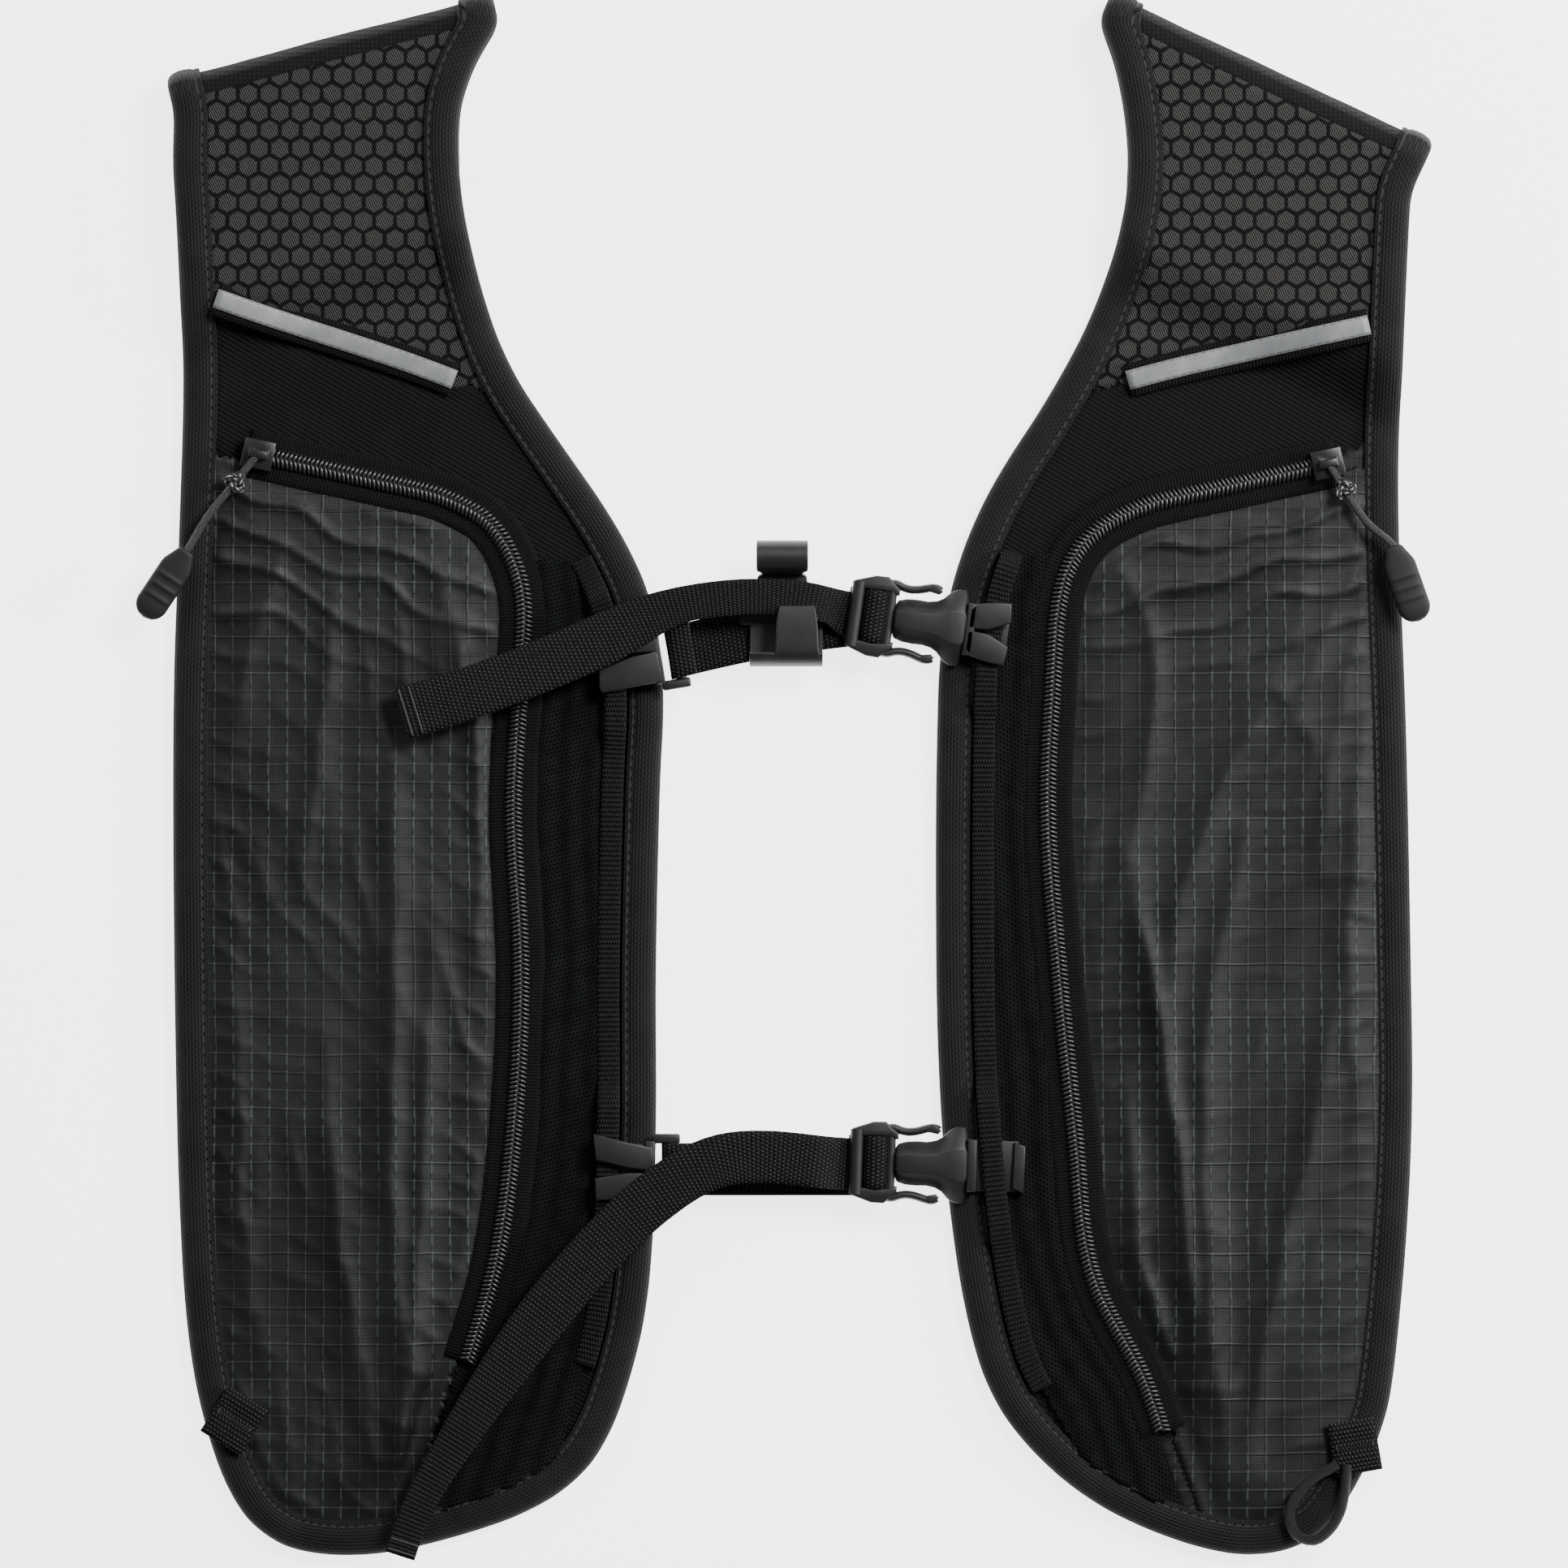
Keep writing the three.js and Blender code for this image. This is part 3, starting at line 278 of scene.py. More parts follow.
# %% Stretch mesh
def stretch_mesh_finish():
    f = Finish("stretch mesh", 0.95, coords="UV", specular=0.05)
    pitch = 1.15
    row = f.math("FLOOR", f.math("DIVIDE", f.y, pitch))
    across = f.math("ADD", f.x, f.times(row, pitch / 2))
    hole = f.times(f.wave(across, pitch), f.wave(f.y, pitch))
    open_part = f.ramp(hole, 0.45, 0.75)
    base = f.mix(f.noise(0.2, 3), grey(0.004, -0.1), grey(0.014, -0.1))
    colour = f.mix(open_part, base, grey(0.0004))
    return f.done(colour, f.times(open_part, -0.8), 0.3)

# %% Reflective tape
def reflective_finish():
    f = Finish("reflective tape", 0.42, metallic=0.25)
    bead = f.times(f.wave(f.x, 0.5), f.wave(f.y, 0.5))
    stitch = f.between(f.math("ABSOLUTE", f.math("SUBTRACT", f.y, 2.8)), 2.15, 2.45)
    dash = f.times(stitch, f.math("GREATER_THAN", f.wave(f.x, 2.4), 0.35))
    worn = f.noise(0.15, 5)
    base = f.mix(f.ramp(worn, 0.35, 0.7), grey(0.24, -0.04), grey(0.32, -0.03))
    colour = f.mix(f.times(dash, 0.5), base, grey(0.08))
    return f.done(colour, f.add(f.times(bead, 0.3), f.times(dash, -0.8)), 0.15)

# %% [markdown]
# ## Moulded finishes
# The buckles are satin nylon: almost plain, with a fine spark-eroded grain. The grips are softer and
# darker. The pull cord has light flecks where reflective yarn comes up in its braid.

# %% Hard plastic, rubber, coil and cord
def plastic_finish():
    f = Finish("moulded nylon", 0.42, coords="Object", specular=0.5)
    grain = f.noise(6, 4)
    cloud = f.noise(0.3, 2)
    colour = f.mix(f.ramp(cloud, 0.3, 0.7), grey(0.010, 0.02), grey(0.015, 0.02))
    rough = f.math("MULTIPLY_ADD", grain, 0.25, 0.3)
    return f.done(colour, grain, 0.05, rough)


def rubber_finish():
    f = Finish("soft rubber", 0.6, coords="Object", specular=0.4)
    grain = f.noise(4, 3)
    colour = f.mix(grain, grey(0.006), grey(0.011))
    return f.done(colour, grain, 0.06)


def coil_finish(name="zip coil", level=0.012, roughness=0.3, specular=0.8):
    f = Finish(name, roughness, coords="Object", specular=specular)
    grain = f.noise(3, 3)
    return f.done(f.mix(grain, grey(level), grey(level * 2.2)), grain, 0.05)


def cord_finish(name="flecked cord", fleck=0.45, turns=2.2):
    f = Finish(name, 0.6)
    lean = f.add(f.x, f.times(f.y, turns))
    other = f.add(f.x, f.times(f.y, -turns))
    braid = f.math("MAXIMUM", f.wave(lean, 1.6), f.wave(other, 1.6))
    light = f.times(f.math("GREATER_THAN", f.wave(lean, 3.2), 0.62),
                    f.math("GREATER_THAN", f.wave(other, 3.2), 0.55))
    base = f.mix(braid, grey(0.008), grey(0.035))
    return f.done(f.mix(light, base, grey(fleck)), braid, 0.25)


def plain_finish(name, level, warm=0.0):
    f = Finish(name, 0.85, coords="Object")
    weave = f.times(f.wave(f.x, 1.3), f.wave(f.y, 1.3))
    return f.done(f.mix(weave, grey(level * 0.6, warm), grey(level * 1.5, warm)), weave, 0.2)


FINISHES = {
    "binding": binding_finish(), "honeycomb": honeycomb_finish(), "knit": knit_finish(),
    "ripstop": ripstop_finish(), "webbing": webbing_finish(),
    "rail": webbing_finish("rail webbing", 1.4, 0.8, 0.002, 0.035),
    "ribbon": webbing_finish("seam ribbon", 1.0, 0.8, 0.001, 0.006),
    "tape": webbing_finish("zip tape", 0.9, 0.7, 0.001, 0.008),
    "mesh": stretch_mesh_finish(), "reflective": reflective_finish(), "plastic": plastic_finish(),
    "rubber": rubber_finish(), "coil": coil_finish(), "cord": cord_finish(),
    "elastic": cord_finish("elastic cord", 0.08, 1.5), "lining": plain_finish("perforated lining", 0.02),
    "yoke": plain_finish("rear yoke", 0.006, -0.05),
    "thread": coil_finish("thread", 0.03, 0.6, 0.3), "slider": coil_finish("slider metal", 0.006, 0.35, 0.6),
}
print("finishes", len(FINISHES))

# %% [markdown]
# ## Lines of the design
# The panels' outlines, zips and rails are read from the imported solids, so the soft pieces follow the design
# when it changes. A strip's middle line comes from pairs of its top points that lie one strip width apart.

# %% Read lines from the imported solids
def solid_copy(name):
    mesh = bmesh.new()
    mesh.from_mesh(nodes[name].data)
    bmesh.ops.remove_doubles(mesh, verts=mesh.verts, dist=1e-6)
    mesh.normal_update()
    return mesh


def walked(points, start):
    """Points put in order, each followed by its nearest neighbour."""
    left = list(points)
    line = [start]
    left.remove(start)
    while left:
        nearest = min(left, key=lambda p: (p - line[-1]).length)
        left.remove(nearest)
        line.append(nearest)
    return line


def thinned(line, gap):
    kept = [line[0]]
    for point in line[1:-1]:
        if (point - kept[-1]).length >= gap and (point - line[-1]).length > gap * 0.5:
            kept.append(point)
    return kept + [line[-1]]


def smoothed(line, rounds):
    for _ in range(rounds):
        line = [line[0]] + [(a + 2 * b + c) / 4 for a, b, c in zip(line, line[1:], line[2:])] + [line[-1]]
    return line


def spaced(line, gap, closed=False):
    """The line again, with points an even distance apart."""
    points = line + [line[0]] if closed else line
    lengths = [0.0]
    for a, b in zip(points, points[1:]):
        lengths.append(lengths[-1] + (b - a).length)
    count = max(2, round(lengths[-1] / gap))
    result = []
    index = 0
    for i in range(count + (0 if closed else 1)):
        want = lengths[-1] * i / count
        while index < len(lengths) - 2 and lengths[index + 1] < want:
            index += 1
        step = lengths[index + 1] - lengths[index]
        share = (want - lengths[index]) / step if step > 1e-9 else 0
        result.append(points[index].lerp(points[index + 1], min(max(share, 0), 1)))
    return result


def length_of(line):
    return sum((b - a).length for a, b in zip(line, line[1:]))


def smooth_path(points, steps):
    """A smooth line through points, with even steps."""
    padded_points = [points[0] * 2 - points[1]] + points + [points[-1] * 2 - points[-2]]
    line = []
    for a, b, c, d in zip(padded_points, padded_points[1:], padded_points[2:], padded_points[3:]):
        for i in range(steps):
            t = i / steps
            line.append(0.5 * ((2 * b) + (c - a) * t + (2 * a - 5 * b + 4 * c - d) * t * t
                               + (3 * b - a - 3 * c + d) * t ** 3))
    line.append(points[-1])
    return line


def top_points(name):
    mesh = solid_copy(name)
    points = {(round(v.co.x, 5), round(v.co.y, 5)) for f in mesh.faces if f.normal.z > 0.5 for v in f.verts}
    mesh.free()
    return [Vector(p) for p in points]


def middle_line(name, width, start_high=True):
    """The line midway between the two long edges of a strip."""
    top = top_points(name)
    mids = []
    for i, a in enumerate(top):
        for b in top[i + 1:]:
            if abs((a - b).length - width) < 0.0002:
                mids.append((a + b) / 2)
    lonely = [m for m in mids if sum((m - other).length < width * 0.25 for other in mids) <= 3]
    mids = lonely or mids
    start = max(mids, key=lambda m: m.y if start_high else m.x)
    return walked(mids, start)


def edge_line(name, start):
    """The outer wall of a panel's binding, in order from the neck end."""
    mesh = solid_copy(name)
    upright = [f for f in mesh.faces if abs(f.normal.z) < 0.02]
    first = min(upright, key=lambda f: f.calc_center_median().y)
    seen = {first}
    queue = [first]
    while queue:
        face = queue.pop()
        for edge in face.edges:
            for other in edge.link_faces:
                if other not in seen and abs(other.normal.z) < 0.02 and other.normal.angle(face.normal) < 0.6:
                    seen.add(other)
                    queue.append(other)
    points = {(round(v.co.x, 5), round(v.co.y, 5)) for face in seen for v in face.verts}
    mesh.free()
    points = [Vector(p) for p in points]
    return walked(points, min(points, key=lambda p: (p - start).length))


coil_lines = {side: middle_line(f"{side}_zip_coil", 0.005) for side in ("left", "right")}
for side, line in coil_lines.items():
    if abs(line[0].x) < abs(line[-1].x) and line[0].y < line[-1].y:
        line.reverse()
print({side: (len(line), round(length_of(line), 3)) for side, line in coil_lines.items()})

# %% [markdown]
# ## The two panels
# A panel is flat over the chest, climbs where it lies on its own rear flap, folds over at the shoulder and
# runs back beneath. Cloth is laid out in two measures: across the panel, and along it towards the fold.

# %% Panel measures
FOLD_RADIUS = 1.5 * MM
SHOULDER_RISE = 8 * MM
REAR_FLAP = 50 * MM
RAMP = 22 * MM
FACE_TOP = 4.6 * MM
SIDES = {"left": -1, "right": 1}
SLOPES = {"left": 14.7, "right": 25.1}     # degrees from level of each shoulder fold


def smoothstep(value, low, high):
    share = min(max((value - low) / (high - low), 0), 1)
    return share * share * (3 - 2 * share)


class Panel:
    def __init__(self, side):
        self.side = side
        self.sign = SIDES[side]
        slope = math.radians(SLOPES[side])
        self.up_dir = Vector((self.sign * math.sin(slope), math.cos(slope)))
        self.across_dir = Vector((self.sign * math.cos(slope), -math.sin(slope)))
        mesh = nodes[f"{side}_rear_yoke"].data
        highest = max(self.up_dir.dot(v.co.xy) for v in mesh.vertices)
        self.fold = highest - FOLD_RADIUS - FACE_TOP
        self.ramp_end = self.fold - REAR_FLAP - 4 * MM
        self.ramp_start = self.ramp_end - RAMP
        self.rear_start = math.pi * FOLD_RADIUS
        self.rear_end = self.rear_start + REAR_FLAP
        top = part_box(f"{side}_edge_binding")[1].y
        walk = edge_line(f"{side}_edge_binding", Vector((self.sign * 0.083, top)))
        walk = [p for p in walk if self.up_dir.dot(p) < self.fold - 1 * MM]
        self.outline = spaced(smoothed(spaced(thinned(walk, 6 * MM), 3 * MM), 2), 3 * MM)

    def plan(self, point):
        """Measures across and along a panel of a point seen from above."""
        point = Vector((point[0], point[1]))
        return Vector((self.across_dir.dot(point), self.up_dir.dot(point) - self.fold))

    def at(self, across, along, height):
        """Where cloth measures lie in space, a height above the lining's inner face."""
        if along <= 0:
            rise = SHOULDER_RISE * smoothstep(self.fold + along, self.ramp_start, self.ramp_end)
            v, z = self.fold + along, rise + height
        else:
            angle = min(along / FOLD_RADIUS, math.pi)
            back = max(along - self.rear_start, 0)
            v = self.fold + (FOLD_RADIUS + height) * math.sin(angle) - back
            z = SHOULDER_RISE - FOLD_RADIUS + (FOLD_RADIUS + height) * math.cos(angle)
        flat = self.across_dir * across + self.up_dir * v
        return Vector((flat.x, flat.y, z))

    def over(self, x, y, height):
        """A point on the front, from its plan place."""
        across, along = self.plan((x, y))
        return self.at(across, along, height)


    def loop(self):
        """The whole edge in cloth measures: neck, hem, side, then the rear flap."""
        front = [self.plan(p) for p in self.outline]
        first, last = front[0], front[-1]

        def behind(p):
            return Vector((p.x, self.rear_start - p.y))

        neck = [behind(p) for p in front[:40] if -p.y < REAR_FLAP - 8 * MM]
        outer = [behind(p) for p in front[-40:] if -p.y < REAR_FLAP - 8 * MM]
        bend = [Vector((last.x, self.rear_start * i / 4)) for i in range(1, 4)]
        bend_back = [Vector((first.x, self.rear_start * i / 4)) for i in range(3, 0, -1)]
        ends = [Vector((outer[0].x, self.rear_end)), Vector((neck[-1].x, self.rear_end))]
        corner_out = [ends[0].lerp(ends[1], share) for share in (0.04, 0.5, 0.96)]
        whole = front + bend + outer[::-1] + corner_out + neck[::-1] + bend_back
        line = spaced(whole, 2 * MM, closed=True)
        for _ in range(4):
            line = [(line[i - 1] + 2 * line[i] + line[(i + 1) % len(line)]) / 4 for i in range(len(line))]
        return line


panels = {side: Panel(side) for side in SIDES}
for panel in panels.values():
    print(panel.side, "fold", round(panel.fold, 4), "edge length", round(length_of(panel.outline), 3))

# %% [markdown]
# ## Ways to make cloth, strips and moulded pieces
# Cloth is a grid in the panel's measures. A strip is a flat bar swept along a line. Both carry UVs in
# metres, so every weave keeps its true pitch.

# %% Mesh helpers
def piece_from(mesh, name, finish, body="panels", smooth=True):
    data = bpy.data.meshes.new(name)
    bmesh.ops.recalc_face_normals(mesh, faces=mesh.faces)
    mesh.to_mesh(data)
    mesh.free()
    data.materials.append(FINISHES[finish])
    for polygon in data.polygons:
        polygon.use_smooth = smooth
    piece = bpy.data.objects.new(name, data)
    bpy.context.scene.collection.objects.link(piece)
    if body:
        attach(piece, body)
    return piece


def apply_modifiers(piece):
    bpy.context.view_layer.update()
    evaluated = piece.evaluated_get(bpy.context.evaluated_depsgraph_get())
    data = bpy.data.meshes.new_from_object(evaluated)
    piece.modifiers.clear()
    old = piece.data
    piece.data = data
    bpy.data.meshes.remove(old)
    return piece


def thicken(piece, thickness, offset=-1):
    solidify = piece.modifiers.new("thickness", "SOLIDIFY")
    solidify.thickness = thickness
    solidify.offset = offset
    return apply_modifiers(piece)


def nearest_on(point, line):
    """Distance to a line, and which side of its travel the point is on (left is positive)."""
    best = (1e9, 0.0)
    for a, b in zip(line, line[1:]):
        step = b - a
        share = min(max((point - a).dot(step) / step.length_squared, 0), 1)
        offset = point - a - step * share
        if offset.length < best[0]:
            best = (offset.length, step.x * offset.y - step.y * offset.x)
    return math.copysign(best[0], best[1])


class Reach:
    """Distance to a line for many points, with the line's short steps looked up by place."""
    def __init__(self, line, closed=False):
        self.points = spaced(line, 2 * MM, closed)
        self.tree = KDTree(len(self.points))
        for i, p in enumerate(self.points):
            self.tree.insert((p.x, p.y, 0), i)
        self.tree.balance()
        self.closed = closed

    def __call__(self, point):
        _, i, _ = self.tree.find((point[0], point[1], 0))
        count = len(self.points)
        if self.closed:
            near = [self.points[(i + k) % count] for k in (-2, -1, 0, 1, 2)]
        else:
            near = self.points[max(i - 2, 0):i + 3]
        return nearest_on(Vector((point[0], point[1])), near)


def cloth(name, panel, low, high, cell, keep, height, finish, thickness=0.5 * MM, body="panels"):
    """A grid between two corners in the panel's measures, trimmed by keep and lifted by height."""
    across = max(2, round((high[0] - low[0]) / cell))
    along = max(2, round((high[1] - low[1]) / cell))
    mesh = bmesh.new()
    bmesh.ops.create_grid(mesh, x_segments=across, y_segments=along, size=1)
    uv = mesh.loops.layers.uv.new("UVMap")
    for v in mesh.verts:
        v.co.x = low[0] + (v.co.x + 1) / 2 * (high[0] - low[0])
        v.co.y = low[1] + (v.co.y + 1) / 2 * (high[1] - low[1])
    outside = [f for f in mesh.faces if not keep(f.calc_center_median())]
    bmesh.ops.delete(mesh, geom=outside, context="FACES")
    for f in mesh.faces:
        for loop in f.loops:
            loop[uv].uv = (loop.vert.co.x, loop.vert.co.y)
    for v in mesh.verts:
        v.co = panel.at(v.co.x, v.co.y, height(v.co.x, v.co.y))
    for f in mesh.faces:
        if (panel.sign < 0):
            f.normal_flip()
    data = bpy.data.meshes.new(name)
    mesh.to_mesh(data)
    mesh.free()
    data.materials.append(FINISHES[finish])
    for polygon in data.polygons:
        polygon.use_smooth = True
    piece = bpy.data.objects.new(name, data)
    bpy.context.scene.collection.objects.link(piece)
    if thickness:
        thicken(piece, thickness)
    if body:
        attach(piece, body)
    return piece


def ribbon(name, line, width, thickness, finish, body="panels", across=6, side=None, crown=0.0,
           ripple=None, widths=None):
    """A strip swept along a line of points in space; its top side faces up where the line runs level."""
    mesh = bmesh.new()
    uv = mesh.loops.layers.uv.new("UVMap")
    rings = []
    distance = 0.0
    marks = []
    last_side = None
    for i, point in enumerate(line):
        ahead = line[min(i + 1, len(line) - 1)] - line[max(i - 1, 0)]
        ahead.normalize()
        sideways = side.copy() if side else Vector((-ahead.y, ahead.x, 0))
        if sideways.length < 0.3 and last_side:
            sideways = last_side
        sideways.normalize()
        last_side = sideways
        up = ahead.cross(sideways) if side is None else sideways.cross(ahead) * -1
        up.normalize()
        if i:
            distance += (point - line[i - 1]).length
        marks.append(distance)
        wide = width * (widths[i] if widths else 1)
        top, low = [], []
        for k in range(across + 1):
            share = k / across
            off = (0.5 - share) * wide
            bulge = crown * (1 - (2 * share - 1) ** 2)
            lift = ripple(distance, share) if ripple else 0.0
            middle = point + sideways * off + up * (bulge + lift)
            top.append(mesh.verts.new(middle + up * thickness / 2))
            low.append(mesh.verts.new(middle - up * thickness / 2))
        rings.append(top + low[::-1])
    count = len(rings[0])
    for i in range(len(rings) - 1):
        for k in range(count):
            a, b = rings[i][k], rings[i][(k + 1) % count]
            c, d = rings[i + 1][(k + 1) % count], rings[i + 1][k]
            face = mesh.faces.new((a, b, c, d))

            def across_of(index):
                return index if index <= across else 2 * across + 1 - index

            places = [(marks[i], across_of(k)), (marks[i], across_of((k + 1) % count)),
                      (marks[i + 1], across_of((k + 1) % count)), (marks[i + 1], across_of(k))]
            for loop, (u, v) in zip(face.loops, places):
                loop[uv].uv = (u, v / across * width)
    for ring in (rings[0], rings[-1]):
        mesh.faces.new(ring)
    return piece_from(mesh, name, finish, body)


def tube(name, line, radius, finish, body="panels", around=10, radii=None):
    mesh = bmesh.new()
    uv = mesh.loops.layers.uv.new("UVMap")
    rings, marks, distance = [], [], 0.0
    frame_side = Vector((0, 0, 1)).cross(line[1] - line[0])
    if frame_side.length < 1e-6:
        frame_side = Vector((1, 0, 0))
    for i, point in enumerate(line):
        ahead = (line[min(i + 1, len(line) - 1)] - line[max(i - 1, 0)]).normalized()
        frame_side = (frame_side - ahead * frame_side.dot(ahead)).normalized()
        other = ahead.cross(frame_side)
        distance += (point - line[i - 1]).length if i else 0
        marks.append(distance)
        r = radius * (radii[i] if radii else 1)
        rings.append([mesh.verts.new(point + (frame_side * math.cos(TAU * k / around)
                                              + other * math.sin(TAU * k / around)) * r)
                                              for k in range(around)])
    for i in range(len(rings) - 1):
        for k in range(around):
            n = (k + 1) % around
            face = mesh.faces.new((rings[i][k], rings[i][n], rings[i + 1][n], rings[i + 1][k]))
            girth = TAU * radius / around
            for loop, (u, v) in zip(face.loops,
                                    ((marks[i], k), (marks[i], k + 1), (marks[i + 1], k + 1),
                                     (marks[i + 1], k))):
                loop[uv].uv = (u, v * girth)
    for ring in (rings[0], rings[-1]):
        mesh.faces.new(ring)
    return piece_from(mesh, name, finish, body)


def moulded(name, node, finish, body, bevel=0.35 * MM, segments=3):
    """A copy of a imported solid, merged and with its rims rounded."""
    mesh = solid_copy(node)
    bmesh.ops.dissolve_limit(mesh, angle_limit=math.radians(2), verts=mesh.verts, edges=mesh.edges)
    rims = [e for e in mesh.edges if len(e.link_faces) == 2 and e.calc_face_angle(0) > math.radians(25)]
    bmesh.ops.bevel(mesh, geom=rims, offset=bevel, affect="EDGES", segments=segments, profile=0.5,
                    material=-1,
                    clamp_overlap=True)
    piece = piece_from(mesh, name, finish, body, smooth=False)
    for polygon in piece.data.polygons:
        polygon.use_smooth = True
    piece.data.set_sharp_from_angle(angle=math.radians(35))
    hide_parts(node)
    return piece


def height_noise(x, y, scale, amount, seed=0.0):
    return noise.noise(Vector((x / scale, y / scale, seed))) * amount

# %% [markdown]
# ## Padding and face cloths
# The lining and foam are one soft pad with its outer rim under the binding. Over it lie the face cloths:
# mesh on the shoulder, fine knit on the chest, ripstop behind the pocket, and a plain yoke behind the
# shoulder.

# %% Pads and face cloths
FACE_CELL = 2.2 * MM
seam_lines = {side: smoothed(spaced(middle_line(f"{side}_reflective_strip", 0.0056, False), 4 * MM), 2)
              for side in SIDES}
for side in SIDES:
    loop = panels[side].loop()
    panel = panels[side]
    panel.edge = loop
    panel.reach = Reach(loop, closed=True)
    inner = Vector((sum(p.x for p in loop) / len(loop), sum(p.y for p in loop) / len(loop)))
    panel.inward = math.copysign(1, panel.reach(inner))
    panel.low = Vector((min(p.x for p in loop), min(p.y for p in loop)))
    panel.high = Vector((max(p.x for p in loop), max(p.y for p in loop)))
    print(side, "pad", round(panel.high.x - panel.low.x, 3), "by", round(panel.high.y - panel.low.y, 3))


def inset(panel, point):
    """How far a point in the panel's measures is inside its edge."""
    return panel.reach(point) * panel.inward


def plan_of(panel, point):
    flat = panel.across_dir * point[0] + panel.up_dir * (point[1] + panel.fold)
    return Vector((flat.x, flat.y))


for side, panel in panels.items():
    seam_reach = Reach([panel.plan(p) for p in seam_lines[side]])
    zip_line = [panel.plan(p) for p in coil_lines[side]]
    first, last = zip_line[0], zip_line[-1]
    zip_long = [first + (first - zip_line[1]).normalized() * 0.03] + zip_line
    zip_long.append(last + (last - zip_line[-2]).normalized() * 0.05)
    panel.zip_reach = Reach(zip_long)
    panel.seam_reach = seam_reach
    seam_middle = panel.plan(seam_lines[side][len(seam_lines[side]) // 2])
    panel.above_seam = math.copysign(1, seam_reach(seam_middle + Vector((0, 0.02))))
    zip_middle = zip_line[len(zip_line) // 2]
    panel.outside_zip = math.copysign(1, panel.zip_reach(zip_middle + Vector((0.02, 0))))

    pad = cloth(f"{side}_pad", panel, panel.low, panel.high, 4 * MM, lambda p: inset(panel, p) > 4.5 * MM,
                lambda x, y: 3.25 * MM, "lining", 3.1 * MM)
    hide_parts(f"{side}_back_lining", f"{side}_foam_core")

    def is_shoulder(p):
        return p.y < -1 * MM and inset(panel, p) > 5 * MM and panel.seam_reach(p) * panel.above_seam > -2 * MM

    def is_chest(p):
        under_seam = panel.seam_reach(p) * panel.above_seam < 2 * MM
        inside_zip = panel.zip_reach(p) * panel.outside_zip < 3 * MM
        return p.y < -1 * MM and inset(panel, p) > 5 * MM and under_seam and inside_zip

    def is_pocket_back(p):
        return p.y < -1 * MM and inset(panel, p) > 5 * MM and panel.zip_reach(p) * panel.outside_zip > -3 * MM

    def is_yoke(p):
        return p.y > -2.5 * MM and inset(panel, p) > 5 * MM

    def soft_lift(x, y):
        soft = height_noise(x, y, 0.03, 0.35 * MM, panel.sign)
        return 4.1 * MM + soft + height_noise(x, y, 0.009, 0.12 * MM, 3)

    mesh_piece = cloth(f"{side}_shoulder", panel, panel.low, panel.high, 1.6 * MM, is_shoulder,
                       lambda x, y: soft_lift(x, y) + 0.15 * MM, "honeycomb")
    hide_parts(f"{side}_shoulder_mesh")
    chest = cloth(f"{side}_chest", panel, panel.low, panel.high, FACE_CELL, is_chest, soft_lift, "knit")
    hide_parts(f"{side}_chest_mesh")
    back = cloth(f"{side}_pocket_lining", panel, panel.low, panel.high, 3 * MM, is_pocket_back,
                 lambda x, y: 4.1 * MM, "ripstop")
    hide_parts(f"{side}_pocket_back")
    yoke = cloth(f"{side}_yoke", panel, panel.low, panel.high, 1.5 * MM, is_yoke, soft_lift, "yoke")
    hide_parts(f"{side}_rear_yoke")

# %% [markdown]
# ## Edge binding
# A stretch tape is folded over the whole edge. Its section is a bullnose: flat below, round outside, and
# slightly crowned on top, with the border pressed down where it is sewn.

# %% Binding round each panel
BINDING_SECTION = [(10, 0.0), (6, 0.0), (3, 0.02), (1.5, 0.2), (0.6, 0.8), (0.1, 1.8), (0.0, 2.8), (0.3, 3.9),
                   (1.1, 4.9), (2.2, 5.5), (3.8, 5.85), (5.5, 5.9), (7.2, 5.7), (8.0, 5.35), (8.4, 5.2),
                   (8.9, 5.35),
                   (9.6, 5.3), (10, 5.0)]
for side, panel in panels.items():
    line = spaced(panel.edge, 1.5 * MM, closed=True)
    count = len(line)
    mesh = bmesh.new()
    uv = mesh.loops.layers.uv.new("UVMap")
    rings = []
    for i, point in enumerate(line):
        step = line[(i + 1) % count] - line[i - 1]
        inwards = Vector((-step.y, step.x)).normalized() * panel.inward
        ring = []
        pucker = height_noise(point.x, point.y, 0.006, 0.22, panel.sign * 5)
        for d, h in BINDING_SECTION:
            place = point + inwards * d * MM
            lift = pucker * min(max(h / 5, 0), 1) if d < 9 else pucker * 0.5 * (h > 1)
            ring.append(mesh.verts.new(panel.at(place.x, place.y, (h + lift) * MM)))
        rings.append(ring)
    lengths = [0.0]
    for (d0, h0), (d1, h1) in zip(BINDING_SECTION, BINDING_SECTION[1:]):
        lengths.append(lengths[-1] + math.hypot(d1 - d0, h1 - h0))
    whole = lengths[-1]
    travel = [1.5 * MM * i for i in range(count + 1)]
    for i in range(count):
        for k in range(len(BINDING_SECTION) - 1):
            corners = ((i, k), (i, k + 1), (i + 1, k + 1), (i + 1, k))
            face = mesh.faces.new([rings[a % count][b] for a, b in corners])
            for loop, (a, b) in zip(face.loops, corners):
                loop[uv].uv = (travel[a], (whole - lengths[b]) * MM)
    binding = piece_from(mesh, f"{side}_binding", "binding", None)
    thicken(binding, 0.45 * MM)
    for vertex in binding.data.vertices:
        vertex.co.z = max(vertex.co.z, 0)
    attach(binding, "panels")
    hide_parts(f"{side}_edge_binding")

# %% [markdown]
# ## Zips, ribbons and rails
# The zip is a woven tape with a coil of small crossing teeth. The shoulder seam is hidden by a ribbon that
# carries the reflective strip. Each rail is a narrow ladder webbing whose arches let the hooks pass under
# it.

# %% Ribbons on the shoulder seam
SEWN_LOW = 4.9 * MM


